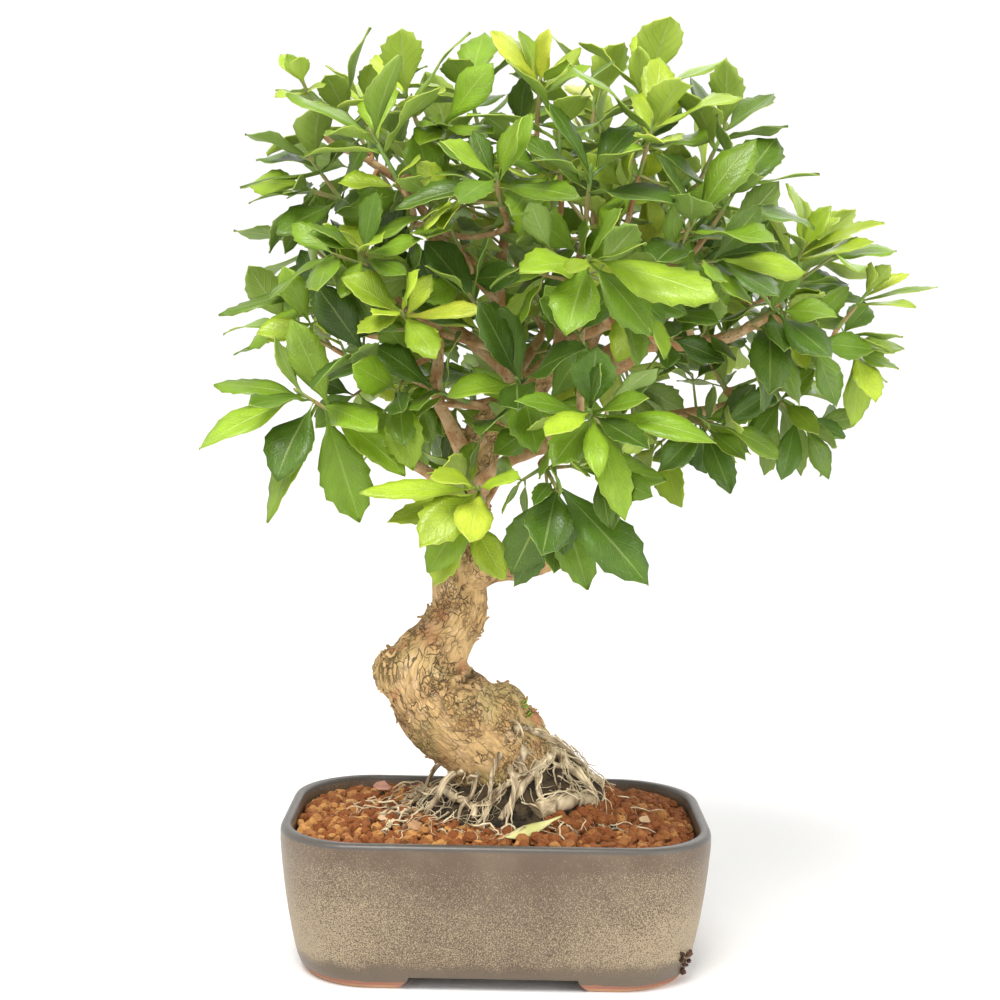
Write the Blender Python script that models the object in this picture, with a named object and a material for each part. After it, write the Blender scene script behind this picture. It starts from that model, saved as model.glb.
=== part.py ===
"""A golden dewdrop (Duranta) bonsai standing in its glazed pot, in metres, +Z up.

The tree is one grown piece of wood: roots, trunk, limbs and twigs. Each leafy
stem is a piece of its own that begins where its twig ends. Everything is placed
round the middle of the pot's foot, and the whole plant is shifted at the end so
that the origin lies under the middle of its bounding box.
"""
import math
import random

import bmesh
import bpy
from mathutils import Matrix, Vector
from mathutils.bvhtree import BVHTree

# The pot's driving sizes
RIM_WIDTH = 0.215
RIM_DEPTH = 0.143
POT_HEIGHT = 0.074
CORNER_RADIUS = 0.0445
WALL = 0.0053
FOOT_HEIGHT = 0.0065
FLOOR_THICKNESS = 0.006
FOOT_GAP_FRONT = 0.088
FOOT_GAP_SIDE = 0.048
FOOT_WIDTH = 0.014
DRAIN_RADIUS = 0.009
DRAIN_SPACING = 0.056
CORNER_STEPS = 5
# Inset of the outer wall from the rim's outline, and height, from the foot up
OUTER_WALL = [(0.0130, 0.0), (0.0100, 0.004), (0.0070, 0.014), (0.0040, 0.030),
              (0.0, 0.064), (0.0, 0.0715), (0.0012, POT_HEIGHT)]
INNER_LEVELS = (0.030, 0.064)

# The soil: small clay grains that fill the pot round the root mound
GAP = 0.0003
HOLE_GAP = 0.0007
SOIL_BELOW_RIM = 0.0065
SOIL_CROWN = 0.006
GRAIN_RELIEF = 0.0012
SOIL_RINGS = 7
SOIL_POINTS = 52

# The root mound that carries the trunk
MOUND_CENTRE = Vector((0.009, 0.004, 0.0))
MOUND_RADIUS = (0.057, 0.040)
MOUND_FOOT = 0.052
MOUND_SOIL_LINE = 0.071
MOUND_TOP = 0.112

# Trunk and limbs: centre line points with the radius at each
TRUNK = [(0.013, 0.008, 0.080, 0.027), (0.004, 0.007, 0.096, 0.0285),
         (-0.010, 0.002, 0.113, 0.0255), (-0.029, -0.004, 0.131, 0.0240),
         (-0.038, -0.006, 0.148, 0.0225), (-0.028, -0.002, 0.163, 0.0175),
         (-0.020, 0.002, 0.177, 0.0148), (-0.021, 0.004, 0.192, 0.0140),
         (-0.019, 0.008, 0.213, 0.0132), (-0.016, 0.014, 0.243, 0.0118),
         (-0.007, 0.018, 0.269, 0.0105), (0.013, 0.020, 0.291, 0.0085),
         (0.027, 0.022, 0.303, 0.0060)]
LIMBS = {
    "arch": [(0.024, 0.022, 0.300, 0.0050), (0.029, 0.020, 0.316, 0.0038),
             (0.026, 0.020, 0.332, 0.0032), (0.014, 0.019, 0.346, 0.0030),
             (-0.010, 0.010, 0.354, 0.0027), (-0.028, 0.000, 0.360, 0.0024),
             (-0.046, -0.016, 0.372, 0.0019)],
    "leader": [(0.008, 0.020, 0.286, 0.0050), (0.000, 0.020, 0.306, 0.0038),
               (-0.003, 0.020, 0.341, 0.0030), (-0.001, 0.018, 0.368, 0.0026),
               (0.005, 0.014, 0.398, 0.0022), (0.008, 0.008, 0.420, 0.0018)],
    "right": [(0.020, 0.022, 0.298, 0.0055), (0.044, 0.010, 0.302, 0.0047),
              (0.059, 0.000, 0.304, 0.0042), (0.071, -0.010, 0.314, 0.0040),
              (0.093, -0.010, 0.315, 0.0035), (0.113, -0.005, 0.319, 0.0030),
              (0.133, 0.000, 0.330, 0.0024)],
    "cut_spur": [(0.024, 0.020, 0.302, 0.0045), (0.034, 0.008, 0.315, 0.0032),
                 (0.047, -0.010, 0.322, 0.0029), (0.060, -0.022, 0.327, 0.0027),
                 (0.077, -0.030, 0.329, 0.0026), (0.089, -0.035, 0.336, 0.0024)],
    "riser": [(0.036, 0.014, 0.300, 0.0045), (0.046, 0.020, 0.318, 0.0034),
              (0.051, 0.022, 0.340, 0.0028), (0.052, 0.028, 0.374, 0.0024),
              (0.056, 0.022, 0.408, 0.0020)],
    "low_right": [(-0.008, 0.018, 0.262, 0.0060), (0.028, 0.032, 0.268, 0.0040),
                  (0.070, 0.038, 0.275, 0.0033), (0.110, 0.044, 0.281, 0.0027),
                  (0.138, 0.050, 0.289, 0.0022)],
    "left": [(-0.017, 0.012, 0.252, 0.0055), (-0.027, 0.000, 0.272, 0.0036),
             (-0.034, -0.010, 0.288, 0.0030), (-0.033, -0.012, 0.304, 0.0028),
             (-0.033, -0.012, 0.322, 0.0022)],
    "low_left": [(-0.019, 0.006, 0.226, 0.0060), (-0.030, -0.012, 0.243, 0.0036),
                 (-0.046, -0.030, 0.255, 0.0028), (-0.058, -0.040, 0.264, 0.0022)],
    "high_left": [(-0.003, 0.020, 0.336, 0.0032), (-0.030, 0.014, 0.362, 0.0026),
                  (-0.050, 0.006, 0.390, 0.0022), (-0.070, 0.002, 0.404, 0.0019)],
    "front": [(-0.014, 0.008, 0.236, 0.0060), (-0.002, -0.020, 0.252, 0.0036),
              (0.016, -0.044, 0.262, 0.0030), (0.036, -0.066, 0.268, 0.0024)],
    "stump": [(-0.018, 0.000, 0.193, 0.0095), (-0.002, -0.010, 0.200, 0.0078),
              (0.014, -0.019, 0.205, 0.0068), (0.029, -0.024, 0.212, 0.0060)],
    "back": [(-0.006, 0.018, 0.268, 0.0060), (0.002, 0.044, 0.288, 0.0038),
             (0.012, 0.072, 0.306, 0.0030), (0.022, 0.092, 0.322, 0.0022)],
    "back_left": [(0.002, 0.020, 0.300, 0.0045), (-0.026, 0.040, 0.322, 0.0032),
                  (-0.056, 0.056, 0.346, 0.0026), (-0.078, 0.062, 0.364, 0.0021)],
    "back_right": [(0.044, 0.012, 0.303, 0.0045), (0.072, 0.040, 0.322, 0.0032),
                   (0.100, 0.058, 0.342, 0.0026), (0.120, 0.064, 0.358, 0.0021)],
}
SIX_SIDED = ("arch", "right", "cut_spur", "low_left", "front")

# Thick roots that run down over the mound, and knots that swell on the trunk
ROOT_COUNT = 11
KNOTS = [((-0.051, -0.012, 0.146), 0.0140), ((-0.016, -0.019, 0.133), 0.0075),
         ((-0.002, -0.001, 0.113), 0.0210), ((-0.034, -0.020, 0.160), 0.0070),
         ((-0.026, -0.008, 0.190), 0.0080)]

# Leafy stems. Each has its tip, its length, how many leaf pairs it carries, the
# length of its leaves and their age. Stems lean away from the heart of the crown.
CROWN_HEART = Vector((0.030, 0.010, 0.300))
STEM_RADIUS = 0.0012
BLADE_HALF = 0.00036
OPEN_STEMS = [
    ("top_left", (-0.083, 0.008, 0.430), 0.024, 3, 0.045, "mid"),
    ("left_crown", (-0.064, -0.056, 0.410), 0.026, 3, 0.047, "mid"),
    ("left_top_a", (-0.050, -0.026, 0.432), 0.026, 3, 0.047, "young"),
    ("left_top_b", (-0.020, -0.004, 0.440), 0.026, 3, 0.045, "mid"),
    ("right_top_a", (0.067, -0.066, 0.416), 0.026, 3, 0.049, "young"),
    ("right_top_b", (0.068, -0.016, 0.440), 0.026, 3, 0.047, "young"),
    ("top_middle", (0.044, 0.020, 0.442), 0.026, 3, 0.045, "young"),
    ("right_shoulder", (0.106, -0.018, 0.420), 0.028, 3, 0.047, "mid"),
    ("right_front", (0.108, -0.056, 0.388), 0.028, 3, 0.049, "old"),
    ("right_centre", (0.084, -0.086, 0.368), 0.026, 3, 0.049, "old"),
    ("right_low_back", (0.143, 0.062, 0.300), 0.024, 2, 0.045, "mid"),
    ("left_back_low", (-0.112, 0.012, 0.322), 0.026, 2, 0.047, "old"),
    ("left_inner", (-0.034, -0.050, 0.290), 0.024, 2, 0.045, "old"),
    ("centre_low", (0.006, -0.070, 0.296), 0.024, 3, 0.047, "old"),
    ("left_mid", (-0.016, -0.060, 0.334), 0.024, 2, 0.045, "old"),
    ("left_upper", (-0.034, -0.048, 0.380), 0.026, 3, 0.047, "mid"),
    ("left_edge", (-0.100, -0.002, 0.405), 0.026, 3, 0.047, "old"),
    ("left_face", (-0.066, -0.056, 0.306), 0.024, 2, 0.045, "old"),
    ("centre_upper", (0.038, -0.076, 0.392), 0.026, 3, 0.049, "old"),
    ("centre_high", (0.024, -0.046, 0.420), 0.026, 3, 0.047, "mid"),
    ("left_rear_high", (-0.070, 0.050, 0.408), 0.026, 2, 0.047, "old"),
    ("right_deep", (0.078, 0.066, 0.318), 0.024, 2, 0.045, "old"),
    ("rear_left_a", (-0.106, 0.050, 0.366), 0.028, 2, 0.047, "mid"),
    ("rear_left_b", (-0.074, 0.090, 0.346), 0.028, 2, 0.049, "old"),
    ("rear_left_c", (-0.030, 0.074, 0.420), 0.028, 3, 0.047, "mid"),
    ("rear_a", (-0.026, 0.112, 0.324), 0.028, 2, 0.049, "old"),
    ("rear_b", (0.000, 0.104, 0.382), 0.030, 3, 0.049, "mid"),
    ("rear_c", (0.032, 0.130, 0.340), 0.028, 2, 0.049, "old"),
    ("rear_d", (0.052, 0.084, 0.424), 0.030, 3, 0.047, "young"),
    ("rear_right_a", (0.080, 0.116, 0.366), 0.028, 3, 0.049, "mid"),
    ("rear_right_b", (0.110, 0.080, 0.402), 0.030, 3, 0.047, "mid"),
    ("rear_right_c", (0.140, 0.086, 0.340), 0.028, 2, 0.049, "old"),
    ("rear_right_d", (0.162, 0.044, 0.366), 0.030, 3, 0.045, "young"),
    ("rear_low", (0.024, 0.100, 0.284), 0.026, 2, 0.047, "old"),
    ("rear_low_left", (-0.052, 0.068, 0.292), 0.026, 2, 0.047, "old"),
]
# The front stems also carry leaves of their own, each with its tip and width
FRONT_STEMS = [
    ("front", (0.044, -0.085, 0.276), (0.038, -0.112, 0.283), 1, 0.038, "mid", [
        ((0.040, -0.118, 0.311), 0.020), ((0.062, -0.128, 0.290), 0.012),
        ((0.091, -0.130, 0.273), 0.015), ((0.072, -0.135, 0.269), 0.012),
        ((0.041, -0.135, 0.257), 0.011), ((0.022, -0.125, 0.260), 0.017),
        ((0.006, -0.118, 0.288), 0.011), ((0.054, -0.120, 0.236), 0.016)]),
    ("low_rosette", (-0.009, -0.055, 0.238), (-0.011, -0.085, 0.246), 1, 0.036, "young", [
        ((-0.064, -0.100, 0.244), 0.013), ((-0.036, -0.105, 0.222), 0.022),
        ((-0.014, -0.115, 0.226), 0.018), ((-0.052, -0.090, 0.230), 0.013),
        ((-0.034, -0.078, 0.206), 0.020)]),
    ("low_hanging", (0.020, -0.075, 0.255), (0.025, -0.097, 0.247), 1, 0.036, "old", [
        ((0.018, -0.122, 0.220), 0.022), ((0.005, -0.095, 0.208), 0.022),
        ((0.040, -0.092, 0.201), 0.021), ((0.065, -0.115, 0.207), 0.025),
        ((0.014, -0.120, 0.242), 0.008)]),
    ("left_low", (-0.063, -0.045, 0.267), (-0.097, -0.055, 0.288), 1, 0.034, "mid", [
        ((-0.142, -0.070, 0.262), 0.020), ((-0.138, -0.050, 0.291), 0.018),
        ((-0.117, -0.080, 0.282), 0.018), ((-0.105, -0.075, 0.248), 0.024),
        ((-0.112, -0.062, 0.227), 0.016), ((-0.058, -0.090, 0.273), 0.020),
        ((-0.068, -0.055, 0.227), 0.024), ((-0.046, -0.065, 0.251), 0.020),
        ((-0.102, -0.050, 0.322), 0.018)]),
    ("left_whorl", (-0.044, -0.050, 0.319), (-0.048, -0.072, 0.326), 2, 0.034, "young", [
        ((-0.066, -0.095, 0.317), 0.012), ((-0.031, -0.095, 0.306), 0.016),
        ((-0.011, -0.085, 0.328), 0.012), ((-0.035, -0.065, 0.344), 0.012)]),
    ("left_high", (-0.064, -0.040, 0.348), (-0.069, -0.057, 0.355), 2, 0.036, "mid", [
        ((-0.092, -0.065, 0.363), 0.012), ((-0.039, -0.075, 0.360), 0.013),
        ((-0.046, -0.085, 0.343), 0.012)]),
    ("centre_whorl", (-0.003, -0.065, 0.377), (-0.005, -0.090, 0.387), 1, 0.040, "mid", [
        ((-0.030, -0.100, 0.401), 0.014), ((-0.050, -0.090, 0.372), 0.014),
        ((0.010, -0.090, 0.415), 0.012), ((0.031, -0.120, 0.375), 0.015)]),
    ("centre_right", (0.036, -0.090, 0.344), (0.036, -0.117, 0.350), 1, 0.034, "mid", [
        ((0.089, -0.145, 0.333), 0.025), ((0.064, -0.120, 0.317), 0.020),
        ((0.026, -0.135, 0.317), 0.022), ((0.053, -0.145, 0.348), 0.012),
        ((0.007, -0.130, 0.344), 0.022)]),
    ("top_shoot", (0.014, -0.010, 0.422), (0.015, -0.020, 0.440), 1, 0.030, "young", [
        ((-0.008, -0.030, 0.463), 0.020), ((0.017, -0.035, 0.463), 0.014),
        ((0.035, -0.005, 0.461), 0.009), ((0.038, -0.030, 0.448), 0.011)]),
    ("top_left_shoot", (-0.094, -0.010, 0.423), (-0.101, -0.020, 0.439), 1, 0.022, "young", [
        ((-0.109, -0.020, 0.452), 0.009), ((-0.090, -0.030, 0.435), 0.010),
        ((-0.113, -0.030, 0.430), 0.010)]),
    ("right_shoot", (0.140, 0.000, 0.342), (0.148, -0.010, 0.364), 1, 0.034, "young", [
        ((0.138, -0.025, 0.393), 0.018), ((0.154, -0.020, 0.385), 0.012),
        ((0.183, -0.025, 0.376), 0.013), ((0.177, -0.035, 0.366), 0.012),
        ((0.128, -0.010, 0.389), 0.010)]),
    ("far_right_shoot", (0.168, 0.000, 0.324), (0.183, 0.000, 0.343), 1, 0.022, "young", [
        ((0.182, -0.010, 0.357), 0.008), ((0.203, 0.000, 0.353), 0.007),
        ((0.215, -0.010, 0.345), 0.007), ((0.202, -0.020, 0.336), 0.009)]),
    ("right_hanging", (0.163, 0.012, 0.320), (0.181, 0.012, 0.313), 1, 0.030, "young", [
        ((0.180, 0.010, 0.275), 0.019), ((0.187, -0.010, 0.289), 0.017),
        ((0.200, 0.015, 0.289), 0.013), ((0.200, 0.002, 0.304), 0.012),
        ((0.207, 0.020, 0.316), 0.014)]),
    ("left_shoot", (-0.083, -0.005, 0.328), (-0.094, -0.020, 0.339), 1, 0.036, "mid", [
        ((-0.139, -0.035, 0.326), 0.013), ((-0.129, -0.010, 0.310), 0.014)]),
    ("right_inner", (0.122, -0.020, 0.326), (0.129, -0.050, 0.331), 2, 0.036, "old", [
        ((0.152, -0.070, 0.309), 0.021), ((0.124, -0.070, 0.292), 0.021)]),
    ("low_right_tip", (0.149, 0.050, 0.286), (0.161, 0.045, 0.274), 1, 0.032, "old", [
        ((0.174, 0.040, 0.246), 0.013), ((0.183, 0.045, 0.268), 0.013),
        ((0.148, 0.035, 0.245), 0.015)]),
    ("low_right", (0.097, 0.020, 0.277), (0.103, 0.000, 0.273), 1, 0.034, "old", [
        ((0.080, -0.010, 0.252), 0.015), ((0.115, -0.012, 0.241), 0.017),
        ((0.105, 0.012, 0.249), 0.018)]),
]
STEM_GAP = 0.0003
HOLE_GAP = 0.0007
TWIG_RADIUS = 0.0013
LONG_TWIG = 0.045
SEED = 17
# Share of the blade's length and half width along one edge: stalk, belly, teeth
EDGE = [(0.0, 0.0), (0.34, 0.62), (0.60, 1.04), (0.70, 0.80)]
OWN_EDGE = [(0.0, 0.0), (0.30, 0.55), (0.56, 1.04), (0.66, 0.86), (0.82, 0.62)]
RIB = 0.50
STALK_HALF = 0.00062

COLOURS = {
    "glazed_pot": ((0.115, 0.085, 0.065, 1.0), 0.42),
    "clay_grains": ((0.330, 0.120, 0.045, 1.0), 0.92),
    "bark": ((0.470, 0.330, 0.190, 1.0), 0.85),
    "leaf_old": ((0.050, 0.165, 0.030, 1.0), 0.40),
    "leaf_mid": ((0.115, 0.300, 0.035, 1.0), 0.42),
    "leaf_young": ((0.250, 0.480, 0.040, 1.0), 0.45),
}


def clear_scene():
    for thing in list(bpy.data.objects):
        bpy.data.objects.remove(thing)


def new_collection(name):
    collection = bpy.data.collections.new(name)
    bpy.context.scene.collection.children.link(collection)
    return collection


def material(name):
    colour, roughness = COLOURS[name]
    mat = bpy.data.materials.new(name)
    mat.use_nodes = True
    shader = mat.node_tree.nodes["Principled BSDF"]
    shader.inputs["Base Color"].default_value = colour
    shader.inputs["Roughness"].default_value = roughness
    shader.inputs["Metallic"].default_value = 0.0
    mat.diffuse_color = colour
    return mat


def mesh_object(name, bm, collection):
    bmesh.ops.recalc_face_normals(bm, faces=bm.faces)
    mesh = bpy.data.meshes.new(name)
    bm.to_mesh(mesh)
    bm.free()
    thing = bpy.data.objects.new(name, mesh)
    collection.objects.link(thing)
    return thing


def as_solid(curve_object, name, collection):
    """The closed mesh of a bevelled curve, with its caps welded on."""
    graph = bpy.context.evaluated_depsgraph_get()
    mesh = bpy.data.meshes.new_from_object(curve_object.evaluated_get(graph))
    bm = bmesh.new()
    bm.from_mesh(mesh)
    bmesh.ops.remove_doubles(bm, verts=bm.verts, dist=0.00001)
    thing = mesh_object(name, bm, collection)
    bpy.data.objects.remove(curve_object)
    return thing


def tube(name, points, radii, extra_sides, collection):
    """A closed tube along points, 4 + 2 * extra_sides sides round."""
    curve = bpy.data.curves.new(name, "CURVE")
    curve.dimensions = "3D"
    curve.bevel_depth = 1.0
    curve.bevel_resolution = extra_sides
    curve.use_fill_caps = True
    spline = curve.splines.new("POLY")
    spline.points.add(len(points) - 1)
    for spot, point, radius in zip(spline.points, points, radii):
        spot.co = (*point, 1.0)
        spot.radius = radius
    curve_object = bpy.data.objects.new(name + "_line", curve)
    bpy.context.scene.collection.objects.link(curve_object)
    bpy.context.view_layer.update()
    return as_solid(curve_object, name, collection)


def main_shell(mesh):
    """The mesh without the hollows and scraps that joining can leave inside."""
    bm = bmesh.new()
    bm.from_mesh(mesh)
    waiting = set(bm.verts)
    shells = []
    while waiting:
        shell, edge = set(), [waiting.pop()]
        while edge:
            vertex = edge.pop()
            shell.add(vertex)
            for link in vertex.link_edges:
                other = link.other_vert(vertex)
                if other in waiting:
                    waiting.discard(other)
                    edge.append(other)
        shells.append(shell)
    for shell in sorted(shells, key=len)[:-1]:
        bmesh.ops.delete(bm, geom=list(shell), context="VERTS")
    bm.to_mesh(mesh)
    bm.free()
    return mesh


def boolean(target, collection, operation, solver="EXACT"):
    """Join or cut target with a whole collection, apply it and drop the others."""
    modifier = target.modifiers.new(operation.lower(), "BOOLEAN")
    modifier.operation = operation
    modifier.operand_type = "COLLECTION"
    modifier.collection = collection
    modifier.solver = solver
    bpy.context.view_layer.update()
    graph = bpy.context.evaluated_depsgraph_get()
    mesh = bpy.data.meshes.new_from_object(target.evaluated_get(graph))
    target.modifiers.clear()
    target.data = main_shell(mesh)
    for thing in list(collection.objects):
        bpy.data.objects.remove(thing)
    bpy.data.collections.remove(collection)


def smooth_path(points, steps):
    """A Catmull-Rom curve through points, each given as a Vector of any size."""
    path = []
    last = len(points) - 1
    for i in range(last):
        before, start = points[max(i - 1, 0)], points[i]
        end, after = points[i + 1], points[min(i + 2, last)]
        for step in range(steps):
            t = step / steps
            path.append(0.5 * (2 * start + (end - before) * t
                               + (2 * before - 5 * start + 4 * end - after) * t ** 2
                               + (3 * start - before - 3 * end + after) * t ** 3))
    path.append(points[-1])
    return path


def rounded_outline(inset, z):
    """One ring of the pot's outline, inset from the rim."""
    half = Vector((RIM_WIDTH / 2 - inset, RIM_DEPTH / 2 - inset))
    radius = CORNER_RADIUS - inset * 0.7
    ring = []
    for corner, (sx, sy) in enumerate([(1, 1), (-1, 1), (-1, -1), (1, -1)]):
        middle = Vector((sx * (half.x - radius), sy * (half.y - radius)))
        for step in range(CORNER_STEPS + 1):
            angle = math.radians(90) * (corner + step / CORNER_STEPS)
            ring.append(Vector((middle.x + radius * math.cos(angle),
                                middle.y + radius * math.sin(angle), z)))
    return ring


def skin(bm, rings):
    """Join rings of equally many points side by side, and cap both ends."""
    loops = [[bm.verts.new(point) for point in ring] for ring in rings]
    for low, high in zip(loops, loops[1:]):
        for i in range(len(low)):
            j = (i + 1) % len(low)
            bm.faces.new((low[i], low[j], high[j], high[i]))
    bm.faces.new(list(reversed(loops[0])))
    bm.faces.new(loops[-1])


def evenly_spaced(ring, count):
    """The same closed outline with count points at equal distances."""
    sides = list(zip(ring, ring[1:] + ring[:1]))
    total = sum((end - start).length for start, end in sides)
    spots = []
    passed = 0.0
    for start, end in sides:
        length = (end - start).length
        while length and len(spots) * total / count < passed + length - 1e-9:
            spots.append(start.lerp(end, (len(spots) * total / count - passed) / length))
        passed += length
    return spots[:count]


def inner_wall(z):
    """Inset of the pot's inner face at height z."""
    for (low_inset, low_z), (high_inset, high_z) in zip(OUTER_WALL, OUTER_WALL[1:]):
        if z <= high_z:
            share = (z - low_z) / (high_z - low_z)
            return low_inset + (high_inset - low_inset) * share + WALL
    return WALL


def box(name, centre, size, collection):
    bm = bmesh.new()
    bmesh.ops.create_cube(bm, size=1.0, matrix=Matrix.LocRotScale(centre, None, size))
    return mesh_object(name, bm, collection)


def make_pot(collection):
    """The glazed shell with its floor, four corner feet and two drain holes."""
    floor_top = FOOT_HEIGHT + FLOOR_THICKNESS
    rings = [rounded_outline(inset, z) for inset, z in OUTER_WALL]
    lip = WALL - 0.0012
    rings.append(rounded_outline(lip, POT_HEIGHT))
    rings.append(rounded_outline(WALL, POT_HEIGHT - 0.0018))
    for z in (*reversed(INNER_LEVELS), floor_top):
        rings.append(rounded_outline(inner_wall(z), z))
    bm = bmesh.new()
    skin(bm, rings)
    pot = mesh_object("pot", bm, collection)

    cutters = new_collection("pot_cutters")
    inset = OUTER_WALL[0][0] + FOOT_WIDTH
    below = -0.01
    bm = bmesh.new()
    skin(bm, [rounded_outline(inset, below), rounded_outline(inset, FOOT_HEIGHT)])
    mesh_object("underside", bm, cutters)
    reach = FOOT_HEIGHT - below
    middle = Vector((0.0, 0.0, (FOOT_HEIGHT + below) / 2))
    box("front_arch", middle, Vector((FOOT_GAP_FRONT, RIM_DEPTH, reach)), cutters)
    box("side_arch", middle, Vector((RIM_WIDTH, FOOT_GAP_SIDE, reach)), cutters)
    for side in (-1, 1):
        bm = bmesh.new()
        spot = Matrix.Translation((side * DRAIN_SPACING / 2, 0.0, floor_top - 0.005))
        bmesh.ops.create_cone(bm, cap_ends=True, segments=14, radius1=DRAIN_RADIUS,
                              radius2=DRAIN_RADIUS, depth=0.03, matrix=spot)
        mesh_object(f"drain_{side}", bm, cutters)
    boolean(pot, cutters, "DIFFERENCE")
    pot.data.materials.append(material("glazed_pot"))
    return pot


def mound_outline(spread, z, count):
    """One ring round the root mound."""
    ring = []
    for i in range(count):
        angle = 2 * math.pi * i / count
        ripple = 1.0 + 0.05 * math.sin(3 * angle + 0.6) + 0.012 * math.sin(5 * angle)
        ring.append(MOUND_CENTRE + Vector((
            math.cos(angle) * (MOUND_RADIUS[0] * ripple + spread),
            math.sin(angle) * (MOUND_RADIUS[1] * ripple + spread), z)))
    return ring


def soil_height(share):
    """The soil's mean height, from the pot's wall (0) to the mound (1)."""
    return POT_HEIGHT - SOIL_BELOW_RIM + SOIL_CROWN * math.sin(share * math.pi / 2)


def make_soil(collection):
    """Clay grains that fill the pot, with a plain hole for the root mound."""
    rng = random.Random(SEED)
    bottom = FOOT_HEIGHT + FLOOR_THICKNESS + GAP
    edge_z = soil_height(0.0)
    levels = [bottom, *INNER_LEVELS, edge_z]
    rings = [evenly_spaced(rounded_outline(inner_wall(z) + GAP, z), SOIL_POINTS)
             for z in levels]
    outer = rings[-1]
    inner = mound_outline(HOLE_GAP, 0.0, len(outer))
    shift = min(range(len(outer)), key=lambda i: (outer[0] - inner[i]).xy.length)
    inner = inner[shift:] + inner[:shift]
    for step in range(1, SOIL_RINGS + 1):
        share = step / SOIL_RINGS
        ring = []
        for i, (far, near) in enumerate(zip(outer, inner)):
            point = far.lerp(near, share)
            point.z = soil_height(share)
            if step < SOIL_RINGS:
                sign = 1 if (i + step) % 2 else -1
                point.z += sign * GRAIN_RELIEF * rng.uniform(0.5, 1.3)
            ring.append(point)
        rings.append(ring)
    hole_floor = MOUND_FOOT - GAP
    rings.append([Vector((point.x, point.y, hole_floor)) for point in inner])
    bm = bmesh.new()
    skin(bm, rings)
    bmesh.ops.triangulate(bm, faces=bm.faces)
    soil = mesh_object("soil", bm, collection)
    soil.data.materials.append(material("clay_grains"))
    return soil


def in_line(table):
    """Centre line and radii of a limb given as (x, y, z, radius) rows."""
    return [Vector(row[:3]) for row in table], [row[3] for row in table]


def limb_path(table, steps):
    path = smooth_path([Vector(row) for row in table], steps)
    return [point.xyz for point in path], [point.w for point in path]


def mound(collection):
    """The mat of roots that lifts the trunk out of the soil."""
    count = 26
    rings = [mound_outline(0.0, MOUND_FOOT, count), mound_outline(0.0, MOUND_SOIL_LINE, count)]
    top = Vector((0.011, 0.006, MOUND_TOP))
    for share, spread in ((0.35, 0.80), (0.62, 0.60), (0.85, 0.40)):
        z = MOUND_SOIL_LINE + (MOUND_TOP - MOUND_SOIL_LINE) * share
        ring = []
        for i, point in enumerate(rings[1]):
            wave = 1.0 + 0.07 * math.sin(4 * 2 * math.pi * i / count + share * 5)
            level = Vector((point.x, point.y, z))
            ring.append(Vector((top.x, top.y, z)).lerp(level, spread * wave))
        rings.append(ring)
    bm = bmesh.new()
    skin(bm, rings)
    return mesh_object("mound", bm, collection)


def root_path(index):
    """A thick root that leaves the trunk's foot and dives into the mound."""
    rng = random.Random(SEED + index)
    angle = 2 * math.pi * (index + rng.uniform(-0.25, 0.25)) / ROOT_COUNT
    away = Vector((math.cos(angle), math.sin(angle), 0.0))
    across = Vector((-away.y, away.x, 0.0)) * rng.uniform(-0.010, 0.010)
    rim = MOUND_CENTRE + Vector((away.x * MOUND_RADIUS[0], away.y * MOUND_RADIUS[1], 0.0))
    start = Vector((0.006, 0.007, 0.112)) + away * 0.012
    shoulder = start.lerp(rim, 0.36) + across * 0.5
    shoulder.z = 0.1020
    knee = start.lerp(rim, 0.68) + across
    knee.z = 0.0880
    end = start.lerp(rim, 0.85) + across * 0.6
    end.z = 0.0745
    radius = rng.uniform(0.0026, 0.0042)
    path = [start, shoulder, knee, end]
    taper = [radius * (1.25 - 0.75 * i / (len(path) - 1)) for i in range(len(path))]
    return path, taper


def weather(thing, depth, waves):
    """Furrow a limb's surface along its normals by a formula."""
    bm = bmesh.new()
    bm.from_mesh(thing.data)
    bm.normal_update()
    moves = []
    for vertex in bm.verts:
        x, y, z = vertex.co * waves
        lift = math.sin(x * 1.7 + 2 * math.sin(z)) * math.sin(y * 1.9 + z * 0.8)
        moves.append(vertex.normal * lift * depth)
    for vertex, move in zip(bm.verts, moves):
        vertex.co += move
    bm.to_mesh(thing.data)
    bm.free()


def limb_segments():
    """Straight pieces of all limbs, for finding the nearest wood to a twig."""
    segments = []
    for name, table in LIMBS.items():
        if name in ("cut_spur", "stump"):
            continue
        path, radii = limb_path(table, 3)
        segments += list(zip(path, path[1:], radii))[2:]
    return segments


def nearest_wood(spot, segments):
    """Where a twig to spot leaves the limbs: the nearest point, best from below."""
    best = None
    for start, end, radius in segments:
        run = end - start
        share = max(0.0, min(1.0, (spot - start).dot(run) / run.length_squared))
        point = start + run * share
        cost = (spot - point).length + 0.6 * max(0.0, point.z - spot.z)
        if best is None or cost < best[0]:
            best = (cost, point, radius)
    return best[1], best[2]


def twig_path(stem, segments, sway):
    """Centre line and radii of the twig that carries a leafy stem."""
    along = (stem[1] - stem[0]).normalized()
    end = stem[0] - along * STEM_GAP
    start, limb_radius = nearest_wood(end, segments)
    reach = (end - start).length
    elbow = end - along * reach * 0.38
    bend = start.lerp(elbow, 0.55) + sway * reach
    path = [start, bend, elbow, end] if reach > LONG_TWIG else [start, elbow, end]
    first = min(limb_radius * 0.8, TWIG_RADIUS + reach * 0.010)
    radii = [first + (TWIG_RADIUS - first) * i / (len(path) - 1) for i in range(len(path))]
    return path, radii


def stem_frame(spray):
    base, tip = spray["stem"][0], spray["stem"][-1]
    return base, tip, (tip - base).normalized()


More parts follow.
